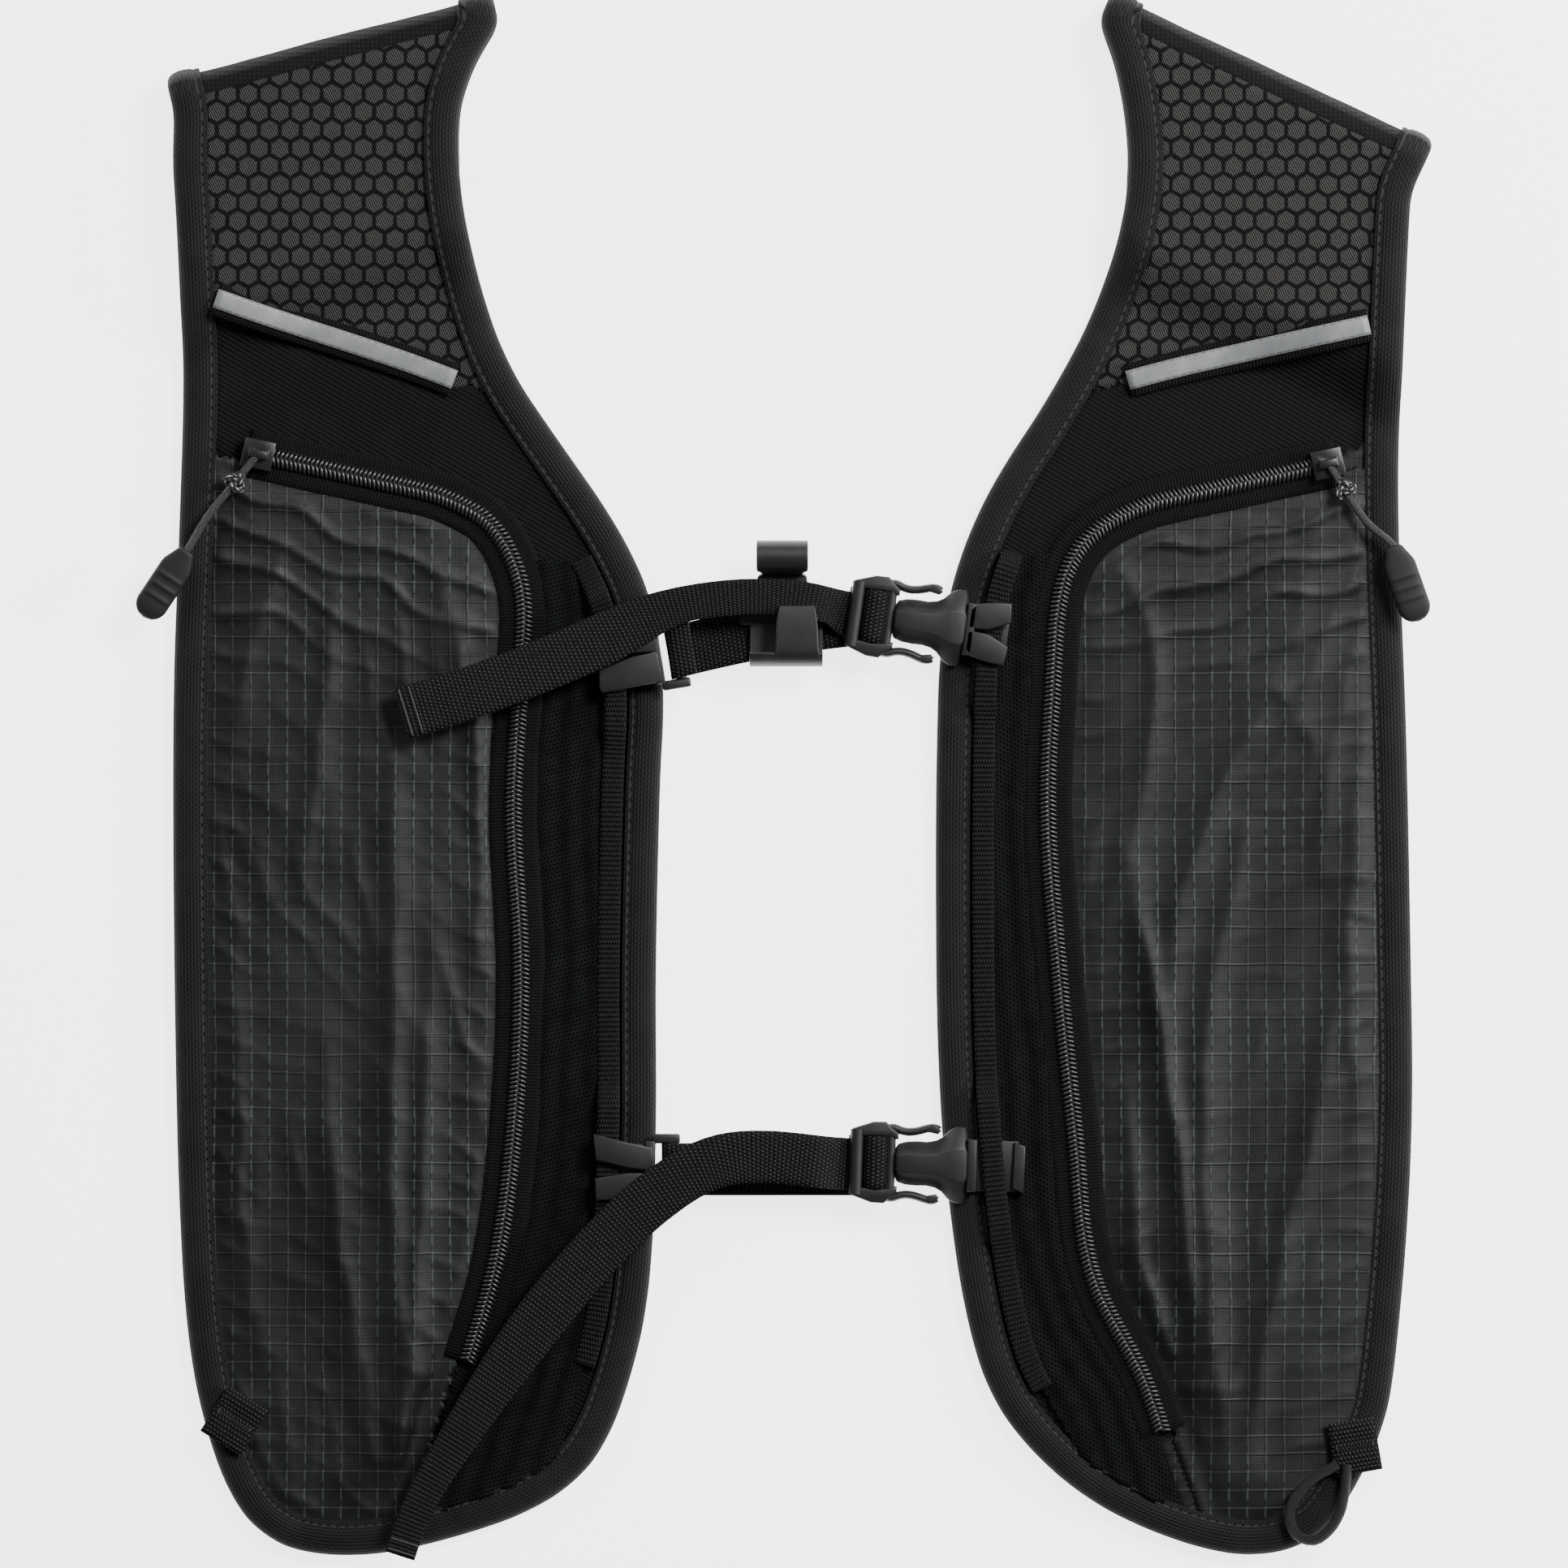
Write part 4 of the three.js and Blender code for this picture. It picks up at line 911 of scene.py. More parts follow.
def raised(panel, line, height):
    return [panel.over(p.x, p.y, height) for p in line]


for side, panel in panels.items():
    seam = spaced(seam_lines[side], 2 * MM)
    seam = [p for p in seam if inset(panel, panel.plan(p)) > 9.6 * MM]
    base = ribbon(f"{side}_seam_ribbon_cloth", raised(panel, seam, SEWN_LOW + 0.35 * MM), 9.5 * MM,
                  0.6 * MM, "ribbon",
                  crown=0.1 * MM)
    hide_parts(f"{side}_seam_ribbon")
    shine = ribbon(f"{side}_reflective", raised(panel, seam, SEWN_LOW + 0.95 * MM), 5.6 * MM, 0.35 * MM,
                   "reflective", crown=0.15 * MM)
    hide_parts(f"{side}_reflective_strip")

# %% Zip tapes and coils
def coil_teeth(name, panel, line, height):
    """A coil seen from above: short round bars from each side that cross in the middle."""
    mesh = bmesh.new()
    points = spaced(line, 0.64 * MM)
    for i in range(1, len(points) - 1):
        ahead = (points[i + 1] - points[i - 1]).normalized()
        sideways = Vector((-ahead.y, ahead.x)) * (1 if i % 2 else -1)
        ends = [(-0.7, 0.42, -0.1), (0.15, 0.52, 0.42), (1.6, 0.50, 0.45), (2.6, 0.42, -0.1)]
        rings = []
        for reach, thick, lift in ends:
            middle = points[i] + sideways * reach * MM + ahead * (reach - 1) * 0.3 * MM
            at = panel.over(middle.x, middle.y, height + lift * MM)
            ring = []
            for k in range(6):
                angle = TAU * k / 6
                off = Vector((ahead.x, ahead.y, 0)) * math.cos(angle) * thick * MM
                ring.append(mesh.verts.new(at + off + Vector((0, 0, math.sin(angle) * thick * MM))))
            rings.append(ring)
        for a, b in zip(rings, rings[1:]):
            for k in range(6):
                mesh.faces.new((a[k], a[(k + 1) % 6], b[(k + 1) % 6], b[k]))
        mesh.faces.new(rings[0])
        mesh.faces.new(rings[-1])
    return piece_from(mesh, name, "coil", "panels")


for side, panel in panels.items():
    line = smoothed(spaced(coil_lines[side], 2.5 * MM), 2)
    tape = ribbon(f"{side}_tape", raised(panel, line, SEWN_LOW + 0.3 * MM), 14 * MM, 0.6 * MM, "tape",
                  across=8, ripple=lambda d, share: math.sin(d * 260 + share * 3) * 0.05 * MM)
    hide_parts(f"{side}_zip_tape")
    teeth = coil_teeth(f"{side}_coil", panel, line, 5.9 * MM)
    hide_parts(f"{side}_zip_coil")

# %% Rails
RAIL_PITCH = 1.4 * MM
RAIL_FROM_EDGE = 13.6 * MM


def rail_height(name):
    mesh = solid_copy(name)
    tree = BVHTree.FromBMesh(mesh)
    mesh.free()

    def top(x, y):
        hit = tree.ray_cast(Vector((x, y, 0.05)), Vector((0, 0, -1)))[0]
        return hit.z if hit else None
    return top


for side, panel in panels.items():
    rail_low, rail_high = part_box(f"{side}_rail")
    edge = spaced(panel.outline, 2 * MM)
    line = []
    for a, b in zip(edge, edge[1:]):
        step = (b - a).normalized()
        turned = Vector((-step.y, step.x)) * panel.sign
        place = a + turned * RAIL_FROM_EDGE
        if rail_low.y < place.y < rail_high.y and abs(place.x) < 0.1:
            line.append(place)
    top_of = rail_height(f"{side}_rail")
    line = spaced(smoothed(spaced(line, 3 * MM), 2), 0.35 * MM)
    places = []
    last = None
    for p in line:
        top = top_of(p.x, p.y) or last or 6.4 * MM
        last = top
        places.append(Vector((p.x, p.y, top - 0.75 * MM)))
    heights = [p.z for p in places]
    for _ in range(12):
        inner = [(a + b + c) / 3 for a, b, c in zip(heights, heights[1:], heights[2:])]
        heights = [heights[0]] + inner + [heights[-1]]
    places = [Vector((p.x, p.y, z)) for p, z in zip(places, heights)]

    def ladder(distance, share):
        rung = 0.5 + 0.5 * math.sin(TAU * distance / RAIL_PITCH)
        return (rung ** 0.6) * 0.3 * MM * (1 - abs(2 * share - 1) ** 4)
    rail = ribbon(f"{side}_ladder", places, 6.3 * MM, 1.1 * MM, "rail", across=6, ripple=ladder)
    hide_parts(f"{side}_rail")
    panel.rail_line = line

# %% [markdown]
# ## Pockets
# The pockets are empty, so the ripstop lies in soft folds: long ones that run down the pocket, and small
# creases from its seams. Between the zip and the rail is a strip of stretch mesh gathered into lengthwise
# pleats.

# %% Pocket cloths
def crease(point, line, wide):
    """1 on a line, falling away smoothly on both sides, and fading towards its ends."""
    best, share_at = 1e9, 0.0
    done, whole = 0.0, length_of(line)
    for a, b in zip(line, line[1:]):
        step = b - a
        share = min(max((point - a).dot(step) / step.length_squared, 0), 1)
        gap = (point - a - step * share).length
        if gap < best:
            best, share_at = gap, (done + step.length * share) / whole
        done += step.length
    fade = math.sin(math.pi * min(max(share_at, 0.0), 1.0)) ** 0.6
    return math.exp(-(best / wide) ** 1.35) * fade


# Each crease: a line in plan, in millimetres from the centre line and above the middle; its half width; its
# height.
CREASES = {
    "left": [
        (((-116, 8), (-114, -60), (-115, -130), (-111, -205)), 4.2, 2.3),
        (((-104, -40), (-106, -110), (-113, -208)), 3.2, 1.7),
        (((-131, 60), (-137, 0), (-141, -35)), 3.0, 1.1),
        (((-101, 62), (-92, 20), (-88, -20), (-93, -62)), 3.0, 1.5),
        (((-136, -60), (-131, -120), (-119, -200)), 3.6, 1.2),
        (((-160, -30), (-159, -110), (-152, -170)), 3.4, 1.2),
        (((-146, 72), (-156, 40), (-161, 8)), 3.0, 1.1),
        (((-88, -105), (-93, -140), (-104, -195)), 2.6, 1.3),
    ],
    "right": [
        (((98, -20), (105, -70), (112, -120), (117, -178)), 3.4, 2.6),
        (((131, -10), (118, -70), (119, -130), (124, -205)), 4.4, 2.0),
        (((150, 40), (128, 10), (112, -30), (107, -75)), 4.0, 1.7),
        (((92, 66), (103, 40), (101, 0), (90, -40)), 3.2, 1.2),
        (((160, -40), (149, -100), (137, -150), (128, -208)), 4.0, 1.5),
        (((166, 20), (160, -40), (162, -110)), 3.4, 1.2),
        (((96, -80), (99, -130), (113, -190)), 2.8, 1.4),
        (((140, 74), (120, 60), (98, 52)), 3.0, 0.9),
    ],
}


def pocket_height(panel, seed):
    creases = []
    for points, wide, tall in CREASES[panel.side]:
        line = smooth_path([panel.plan((x * MM, y * MM)) for x, y in points], 5)
        creases.append((line, wide * MM, tall))

    def height(x, y):
        point = Vector((x, y))
        margin = min(inset(panel, point) - 9.5 * MM, panel.zip_reach(point) * panel.outside_zip - 7 * MM)
        fullness = smoothstep(margin, 0, 16 * MM)
        near = smoothstep(margin, 0, 4 * MM)
        warp = Vector((height_noise(x, y, 0.02, 2.0 * MM, seed),
                       height_noise(x, y, 0.03, 2.0 * MM, seed + 5)))
        folds = sum(crease(point + warp, line, wide) * tall for line, wide, tall in creases)
        lean = x * 0.35 + y
        sharp = (1 - abs(noise.noise(Vector((x / 0.011, lean / 0.034, seed))))) ** 5 * 0.75
        patches = smoothstep(noise.noise(Vector((x / 0.05, y / 0.05, seed + 3))), -0.25, 0.35)
        small = noise.noise(Vector((x / 0.006, y / 0.011, seed + 9))) * 0.28
        corner = smoothstep(plan_of(panel, point).y, 25 * MM, 60 * MM)
        pulled = abs(math.sin((x * 0.8 - y) / 0.0046 + warp.x * 700 + warp.y * 500))
        tug = (1 - pulled) ** 3 * near * (0.6 * (1 - 0.7 * fullness) + 0.9 * corner)
        fine = (sharp * patches + small * 0.7) * near
        rise = 0.3 * near + 0.9 * fullness + 1.25 * folds * near + fine + tug
        return min(5.1 + max(rise, -0.1), 9.9) * MM
    return height


def area_of(piece):
    return sum(f.area for f in piece.data.polygons)


for side, panel in panels.items():

    def is_pocket(p):
        from_zip = panel.zip_reach(p) * panel.outside_zip
        return from_zip > 2.9 * MM and inset(panel, p) > 8.2 * MM and p.y < -0.06

    lift = pocket_height(panel, 4.0 if side == "left" else 11.0)
    pocket = cloth(f"{side}_pocket", panel, panel.low, Vector((panel.high.x, -0.06)), 1.3 * MM, is_pocket,
                   lift,
                   "ripstop", 0.25 * MM)
    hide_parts(f"{side}_pocket_front", f"{side}_zip_garage")
    half_area = area_of(pocket) / 2
    print(side, "pocket area", round(half_area, 4))
    panel.pocket = pocket
    panel.pocket_area = half_area
    rail_reach = Reach([panel.plan(p) for p in panel.rail_line])
    rail_mid = panel.plan(panel.rail_line[len(panel.rail_line) // 2])
    outward = math.copysign(1, rail_reach(rail_mid + Vector((0.02, 0))))
    top_y = panel.rail_line[0].y

    def is_mesh(p):
        plan = plan_of(panel, p)
        inside_zip = panel.zip_reach(p) * panel.outside_zip < -1.5 * MM
        outside_rail = rail_reach(p) * outward > 0.5 * MM
        return inside_zip and outside_rail and inset(panel, p) > 8.5 * MM and plan.y < top_y

    def pleats(x, y):
        from_zip = -panel.zip_reach(Vector((x, y))) * panel.outside_zip
        wave = math.sin(from_zip / 0.0011 + height_noise(x, y, 0.03, 1.2, 2)) * 0.5 + 0.5
        edge = smoothstep(from_zip, 2 * MM, 6 * MM)
        return (5.0 + 0.25 * edge + 0.75 * wave * edge) * MM
    strip_mesh = cloth(f"{side}_mesh_strip", panel, panel.low, Vector((panel.high.x, -0.06)), 0.9 * MM,
                       is_mesh,
                       pleats, "mesh", 0.25 * MM)
    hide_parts(f"{side}_mesh_pocket")

# %% [markdown]
# ## Zip pulls
# Each slider carries a flecked cord, knotted at the bail, with a moulded grip that hangs over the vest's
# edge.

# %% Sliders, cords and grips
def centre_of(node):
    low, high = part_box(node)
    return (low + high) / 2


def grip_piece(name, node, finish, body):
    """A rounded grip that narrows to the end where the cord goes in, with three raised ridges on top."""
    solid = nodes[node].data
    points = [v.co.copy() for v in solid.vertices]
    centre = centre_of(node)
    axis = max(((a - b).xy for a in points for b in points[::7]), key=lambda d: d.length).normalized()
    if axis.y > 0:
        axis = -axis
    sideways = Vector((-axis.y, axis.x))
    reach = [(p - centre).xy.dot(axis) for p in points]
    start, end = min(reach), max(reach)
    middle = (start + end) / 2
    low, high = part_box(node)
    half_high = (high.z - low.z) / 2
    mesh = bmesh.new()
    uv = mesh.loops.layers.uv.new("UVMap")
    stations, around = 46, 20
    rings = []
    for i in range(stations + 1):
        t = i / stations
        along = start + (end - start) * t
        if t < 0.30:
            wide = 2.6 + 2.1 * smoothstep(t, 0.0, 0.30)
        else:
            wide = 4.7
        cap = math.sqrt(max(0.0, 1 - max(0, (t - 0.80) / 0.2) ** 2)) if t > 0.8 else 1.0
        cap *= math.sqrt(max(0.02, 1 - max(0, (0.06 - t) / 0.06) ** 2)) if t < 0.06 else 1.0
        ridge = 0.32 * max(0, math.sin((t - 0.38) * 14 * math.pi)) if 0.38 < t < 0.82 else 0.0
        ring = []
        for k in range(around):
            angle = TAU * k / around
            cx, cz = math.cos(angle), math.sin(angle)
            power = 0.55
            sx = math.copysign(abs(cx) ** power, cx) * wide * MM * max(cap, 0.03)
            sz = math.copysign(abs(cz) ** power, cz) * half_high * (0.82 + 0.0 * t) * max(cap ** 0.6, 0.05)
            if cz > 0.3:
                sz += ridge * MM * (1 - abs(cx) ** 3)
            place = centre.xy + axis * (along) + sideways * sx
            ring.append(mesh.verts.new((place.x, place.y, centre.z + sz)))
        rings.append(ring)
    for a, b in zip(rings, rings[1:]):
        for k in range(around):
            mesh.faces.new((a[k], a[(k + 1) % around], b[(k + 1) % around], b[k]))
    mesh.faces.new(rings[0])
    mesh.faces.new(rings[-1])
    piece = piece_from(mesh, name, finish, body)
    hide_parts(node)
    eye = centre.xy + axis * start
    return piece, Vector((eye.x, eye.y, centre.z)), Vector((axis.x, axis.y, 0))


def knot_piece(name, centre, ahead, radius, finish, body):
    """An overhand knot: a cord wound twice round itself."""
    ahead = ahead.normalized()
    sideways = Vector((-ahead.y, ahead.x, 0))
    up = Vector((0, 0, 1))
    line = []
    for i in range(61):
        t = TAU * i / 60
        x = math.sin(t) + 2 * math.sin(2 * t)
        y = math.cos(t) - 2 * math.cos(2 * t)
        z = -math.sin(3 * t)
        line.append(centre + (sideways * x * 0.30 + ahead * y * 0.27 + up * z * 0.35) * radius * 1.3)
    return tube(name, line, 0.95 * MM, finish, body, around=8)


for side, panel in panels.items():
    moulded(f"{side}_slider", f"{side}_zip_slider", "slider", f"{side}_slider",
            0.3 * MM, 2)
    grip, eye, axis = grip_piece(f"{side}_grip", f"{side}_pull_grip", "rubber", f"{side}_pull")
    bail = centre_of(f"{side}_zip_slider")
    bail.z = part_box(f"{side}_zip_slider")[1].z - 1.1 * MM
    knot_at = centre_of(f"{side}_pull_knot")
    outward = (knot_at - bail).normalized()
    knot = knot_piece(f"{side}_knot", knot_at, outward, 2.3 * MM, "cord", f"{side}_pull")
    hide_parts(f"{side}_pull_knot")
    cord_box = centre_of(f"{side}_pull_cord")
    points = [bail, bail.lerp(knot_at, 0.5), knot_at, cord_box, eye, eye + axis * 7 * MM]
    points[-1].z = points[-2].z
    line = smooth_path(points, 6)
    curve = bpy.data.curves.new(f"{side}_pull_line", "CURVE")
    curve.dimensions = "3D"
    curve.bevel_depth = 1.1 * MM
    curve.bevel_resolution = 4
    curve.use_fill_caps = True
    spline = curve.splines.new("POLY")
    spline.points.add(len(line) - 1)
    for point, place in zip(spline.points, line):
        point.co = (*place, 1)
    curve.materials.append(FINISHES["cord"])
    cord = bpy.data.objects.new(f"{side}_cord", curve)
    bpy.context.scene.collection.objects.link(cord)
    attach(cord, f"{side}_pull")
    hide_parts(f"{side}_pull_cord")
    print(side, "cord", round(length_of(line), 4))

# %% [markdown]
# ## Side tabs and the elastic loop
# A folded bit of webbing is tacked on each lower side. The right one holds a loop of elastic cord.

# %% Tabs and loop
def tab_piece(name, node, body="panels"):
    low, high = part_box(node)
    centre = (low + high) / 2
    solid = nodes[node].data
    corners = [v.co for v in solid.vertices if v.co.z > centre.z]
    spin = min((a - b for a in corners for b in corners if (a - b).length > 1 * MM and abs(a.z - b.z) < 1e-6),
               key=lambda d: d.length).normalized()
    ahead = Vector((spin.x, spin.y, 0))
    if abs(ahead.x) > abs(ahead.y):
        ahead = Vector((-ahead.y, ahead.x, 0))
    half = 7.6 * MM
    line = [centre + ahead * half * (i / 12 * 2 - 1) + Vector((0, 0, 0.2 * MM * math.sin(i)))
            for i in range(13)]
    tab = ribbon(name, line, 13.5 * MM, 1.3 * MM, "webbing", body, across=8, crown=0.3 * MM)
    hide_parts(node)
    sideways = Vector((-ahead.y, ahead.x, 0))
    zigzag = []
    for i in range(25):
        place = centre + sideways * (i / 24 * 2 - 1) * 5.4 * MM + ahead * (1 if i % 2 else -1) * 0.9 * MM
        zigzag.append(place + Vector((0, 0, 1.05 * MM)))
    tack = tube(f"{name}_tack", zigzag, 0.22 * MM, "thread", body, around=6)
    return tab, tack


for side in SIDES:
    tab_piece(f"{side}_tab", f"{side}_side_tab")
loop_low, loop_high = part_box("right_elastic_loop")
loop_z = (loop_low.z + loop_high.z) / 2
loop_middle = Vector(((loop_low.x + loop_high.x) / 2, (loop_low.y + loop_high.y) / 2, loop_z))
loop_points = []
for x, y in ((0.62, 0.95), (-0.1, 0.62), (-0.62, 0.2), (-0.82, -0.28), (-0.62, -0.72), (-0.1, -0.86),
             (0.35, -0.62),
             (0.66, -0.22), (0.80, 0.25), (0.88, 0.95)):
    half_x = (loop_high.x - loop_low.x) / 2
    half_y = (loop_high.y - loop_low.y) / 2
    loop_points.append(loop_middle + Vector((x * half_x, y * half_y, 0)))
loop_line = smooth_path(loop_points, 3)
curve = bpy.data.curves.new("elastic_line", "CURVE")
curve.dimensions = "3D"
curve.bevel_depth = 1.5 * MM
curve.bevel_resolution = 4
curve.use_fill_caps = True
spline = curve.splines.new("POLY")
spline.points.add(len(loop_line) - 1)
for point, place in zip(spline.points, loop_line):
    point.co = (*place, 1)
curve.materials.append(FINISHES["elastic"])
elastic = bpy.data.objects.new("right_elastic", curve)
bpy.context.scene.collection.objects.link(elastic)
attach(elastic, "panels")
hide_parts("right_elastic_loop")

# %% [markdown]
# ## Straps
# Webbing is sewn round the left frame's bar and threads the buckle; its tail comes back over the top. The
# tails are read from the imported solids, and given the slight crown and ripple of used webbing.

# %% Webbing and tails
def strap_frame(name):
    """The two ends of a strap's middle line, from its packed webbing."""
    turn = math.radians(WEBBING_TURNS[name])
    along, sideways = Vector((math.cos(turn), math.sin(turn))), Vector((-math.sin(turn), math.cos(turn)))
    points = [v.co.xy for v in nodes[f"{name}_webbing"].data.vertices]
    reach = [p.dot(along) for p in points]
    wide = [p.dot(sideways) for p in points]
    middle = sideways * (min(wide) + max(wide)) / 2
    return middle + along * min(reach), middle + along * max(reach)


WEBBING_TURNS = {"upper": 9.5, "lower": 0}    # degrees
BUCKLE_TURNS = {"upper": -8, "lower": -2}
WEBBING_WIDTH = 15 * MM
WEBBING_THICK = 1.2 * MM
HALF_TAIL = 7.0 * MM                          # from a tail's middle to its seam's end
BOW = 1.6 * MM                                # how far the upper strap arches towards the shoulders
LOOP_SHIFT = 3.4 * MM                         # the strap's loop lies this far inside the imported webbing's end
TAIL_START = 6.5 * MM                         # where a tail leaves its buckle, below the frame's left bar
for name in ("upper", "lower"):
    left, right = strap_frame(name)
    along = (right - left).normalized()
    ahead = Vector((along.x, along.y, 0))
    sideways = Vector((-along.y, along.x, 0))
    span = (right - left).length
    origin = Vector((left.x, left.y, 0)) + ahead * LOOP_SHIFT

    def at(distance, height):
        bow = BOW * math.sin(math.pi * min(max(distance / (span / MM), 0), 1)) if name == "upper" else 0
        return origin + ahead * distance * MM + sideways * bow + Vector((0, 0, height * MM))

    route = [at(7.5, 11.6), at(5.0, 11.3), at(2.2, 10.9), at(0.8, 9.9), at(0.5, 8.5), at(0.8, 7.1),
             at(2.2, 6.1),
             at(5.5, 5.7), at(9, 5.3), at(13, 5.0)]
    reach = span / MM - LOOP_SHIFT / MM
    steps = int((reach - 16) / 6)
    for i in range(1, steps + 1):
        x = 13 + (reach - 13) * i / steps
        route.append(at(x, 5.0 + 0.12 * math.sin(i * 1.3)))
    line = spaced(smooth_path(route, 5), 1.2 * MM)
    web = ribbon(f"{name}_strap_web", line, WEBBING_WIDTH, WEBBING_THICK,
                 "webbing", None, across=8,
                 side=sideways, crown=0.12 * MM)
    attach(web, f"{name}_strap")
    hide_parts(f"{name}_webbing")

    tail_line = middle_line(f"{name}_tail", 0.015, False)
    tail_line = [p for i, p in enumerate(tail_line) if i == 0 or p.x < tail_line[i - 1].x + 0.2 * MM]
    tail_line = spaced(smoothed(spaced(thinned(tail_line, 6 * MM), 3 * MM), 3), 1.5 * MM)
    low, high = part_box(f"{name}_tail")
    mid_z = (low.z + high.z) / 2
    places = []
    for i, p in enumerate(tail_line):
        down = 1 - smoothstep(i * 1.5 * MM, 7 * MM, 19 * MM)
        z = mid_z + 0.25 * MM * math.sin(i * 0.09) + height_noise(p.x, p.y, 0.02, 0.25 * MM, 7)
        places.append(Vector((p.x, p.y, z + (TAIL_START - z) * down)))
    if name == "lower":
        narrowing = [1 - 0.42 * smoothstep(i / len(places), 0.55, 0.98) for i in range(len(places))]
    else:
        # This tail lies on a slant past its buckle, which a narrowing and a lift stand in for.
        narrowing = [1 - 0.32 * smoothstep(i * 1.5, 4, 14) * (1 - smoothstep(i * 1.5, 52, 82))
                     for i in range(len(places))]
        places = [p + sideways * (1 - w) * HALF_TAIL + Vector((0, 0, (1 - w) * 2 * MM))
                  for p, w in zip(places, narrowing)]
    tail = ribbon(f"{name}_tail_web", places, WEBBING_WIDTH, WEBBING_THICK,
                  "webbing", None, across=8,
                  crown=0.15 * MM, widths=narrowing)
    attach(tail, f"{name}_male")
    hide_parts(f"{name}_tail")
    near, end = places[-3], places[-1]
    aim = (end - near).normalized()
    beside = Vector((-aim.y, aim.x, 0)) * HALF_TAIL * narrowing[-1]
    for row, back in enumerate((1.2, 4.2)):
        seam = [end - aim * back * MM + beside * (k / 6 - 1) + Vector((0, 0, 0.75 * MM)) for k in range(13)]
        stitch = tube(f"{name}_tail_stitch_{row}", seam, 0.3 * MM, "thread", None, around=6)
        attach(stitch, f"{name}_male")

# %% [markdown]
# ## Buckles, hooks and hose clip
# The moulded pieces are drawn again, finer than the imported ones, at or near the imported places. Their rims are
# rounded as a mould leaves them. The left hooks' frames reach a little further from the rail than the
# packed ones.

# %% Outlines to mouldings
def outline_solid(points, low, high, rim=0.5, segments=3):
    """A plan outline in millimetres, extruded and with its rims rounded."""
    mesh = bmesh.new()
    ring = [mesh.verts.new((x, y, low)) for x, y in points]
    base = mesh.faces.new(ring)
    top = bmesh.ops.extrude_face_region(mesh, geom=[base])["geom"]
    bmesh.ops.translate(mesh, verts=[g for g in top if isinstance(g, bmesh.types.BMVert)],
                        vec=(0, 0, high - low))
    bmesh.ops.recalc_face_normals(mesh, faces=mesh.faces)
    rims = [e for e in mesh.edges if abs(e.verts[0].co.z - e.verts[1].co.z) < 1e-6]
    bmesh.ops.bevel(mesh, geom=rims, offset=rim, affect="EDGES", segments=segments, profile=0.5, material=-1,
                    clamp_overlap=True)
    return mesh


def box_solid(x0, x1, y0, y1, z0, z1, rim=0.4, segments=3):
    mesh = bmesh.new()
    bmesh.ops.create_cube(mesh, size=1)
    bmesh.ops.scale(mesh, vec=(x1 - x0, y1 - y0, z1 - z0), verts=mesh.verts)
    bmesh.ops.translate(mesh, vec=((x0 + x1) / 2, (y0 + y1) / 2, (z0 + z1) / 2), verts=mesh.verts)
    bmesh.ops.bevel(mesh, geom=mesh.edges[:], offset=rim, affect="EDGES", segments=segments, profile=0.5,
                    material=-1, clamp_overlap=True)
    return mesh


def rod(points, radius, squash=1.0):
    """A round bar through points, in millimetres, on the buckle's axes."""
    mesh = bmesh.new()
    around = 12
    line = [Vector(p) for p in points]
    rings = []
    for i, point in enumerate(line):
        ahead = (line[min(i + 1, len(line) - 1)] - line[max(i - 1, 0)]).normalized()
        sideways = Vector((-ahead.y, ahead.x, 0)).normalized()
        up = ahead.cross(sideways) * -1
        rings.append([mesh.verts.new(point + sideways * math.cos(TAU * k / around) * radius
                                     + up * math.sin(TAU * k / around) * radius * squash)
                                     for k in range(around)])
    for a, b in zip(rings, rings[1:]):
        for k in range(around):
            mesh.faces.new((a[k], a[(k + 1) % around], b[(k + 1) % around], b[k]))
    mesh.faces.new(rings[0])
    mesh.faces.new(rings[-1])
    return mesh


def joined(parts):
    whole = bmesh.new()
    for part in parts:
        data = bpy.data.meshes.new("part")
        bmesh.ops.recalc_face_normals(part, faces=part.faces)
        part.to_mesh(data)
        part.free()
        whole.from_mesh(data)
        bpy.data.meshes.remove(data)
    return whole


def placed(mesh, name, origin, turn, node, body, finish="plastic"):
    """Puts a moulding made in millimetres at its place, and rounds its shading but not its rims."""
    move = Matrix.Translation(Vector((origin.x, origin.y, 0)))
    where = move @ Matrix.Rotation(turn, 4, "Z") @ Matrix.Scale(MM, 4)
    bmesh.ops.transform(mesh, matrix=where, verts=mesh.verts)
    piece = piece_from(mesh, name, finish, body)
    piece.data.set_sharp_from_angle(angle=math.radians(40))
    if node:
        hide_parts(node)
    return piece


def local_origin(node, turn, start):
    """A moulding's own origin, from which its solid begins start millimetres along its axis."""
    along, sideways = Vector((math.cos(turn), math.sin(turn))), Vector((-math.sin(turn), math.cos(turn)))
    points = [v.co.xy for v in nodes[node].data.vertices]
    reach = min(p.dot(along) for p in points)
    wide = [p.dot(sideways) for p in points]
    return along * (reach - start * MM) + sideways * (min(wide) + max(wide)) / 2

# %% [markdown]
# The female half is a shell with three lengthwise facets: a ridge on top between two slopes. It is cut as a
# wedge section run along the axis, wider where it flares for the latches.

# %% Female buckles with their rail hooks
FEMALE_STATIONS = [(-2.0, 4.4, 2.0), (-1.3, 5.5, 2.6), (1.0, 6.2, 3.0), (4.0, 6.4, 3.1), (7.0, 6.3, 3.1),
                   (9.6, 6.8, 3.1), (11.4, 7.8, 3.1), (13.2, 9.8, 3.1), (14.8, 10.7, 3.1),
                   (15.9, 11.0, 3.0), (17.6, 11.0, 2.9),
                   (18.3, 9.4, 2.7), (18.7, 7.7, 2.5), (20.4, 7.6, 2.3)]
FEMALE_SECTION = [(1.0, -0.6), (1.0, -0.05), (0.42, 1.0), (-0.42, 1.0), (-1.0, -0.05), (-1.0, -0.6),
                  (-0.8, -1.0), (0.8, -1.0)]
MIDDLE = 8.5          # height of the buckles' middle plane, in millimetres


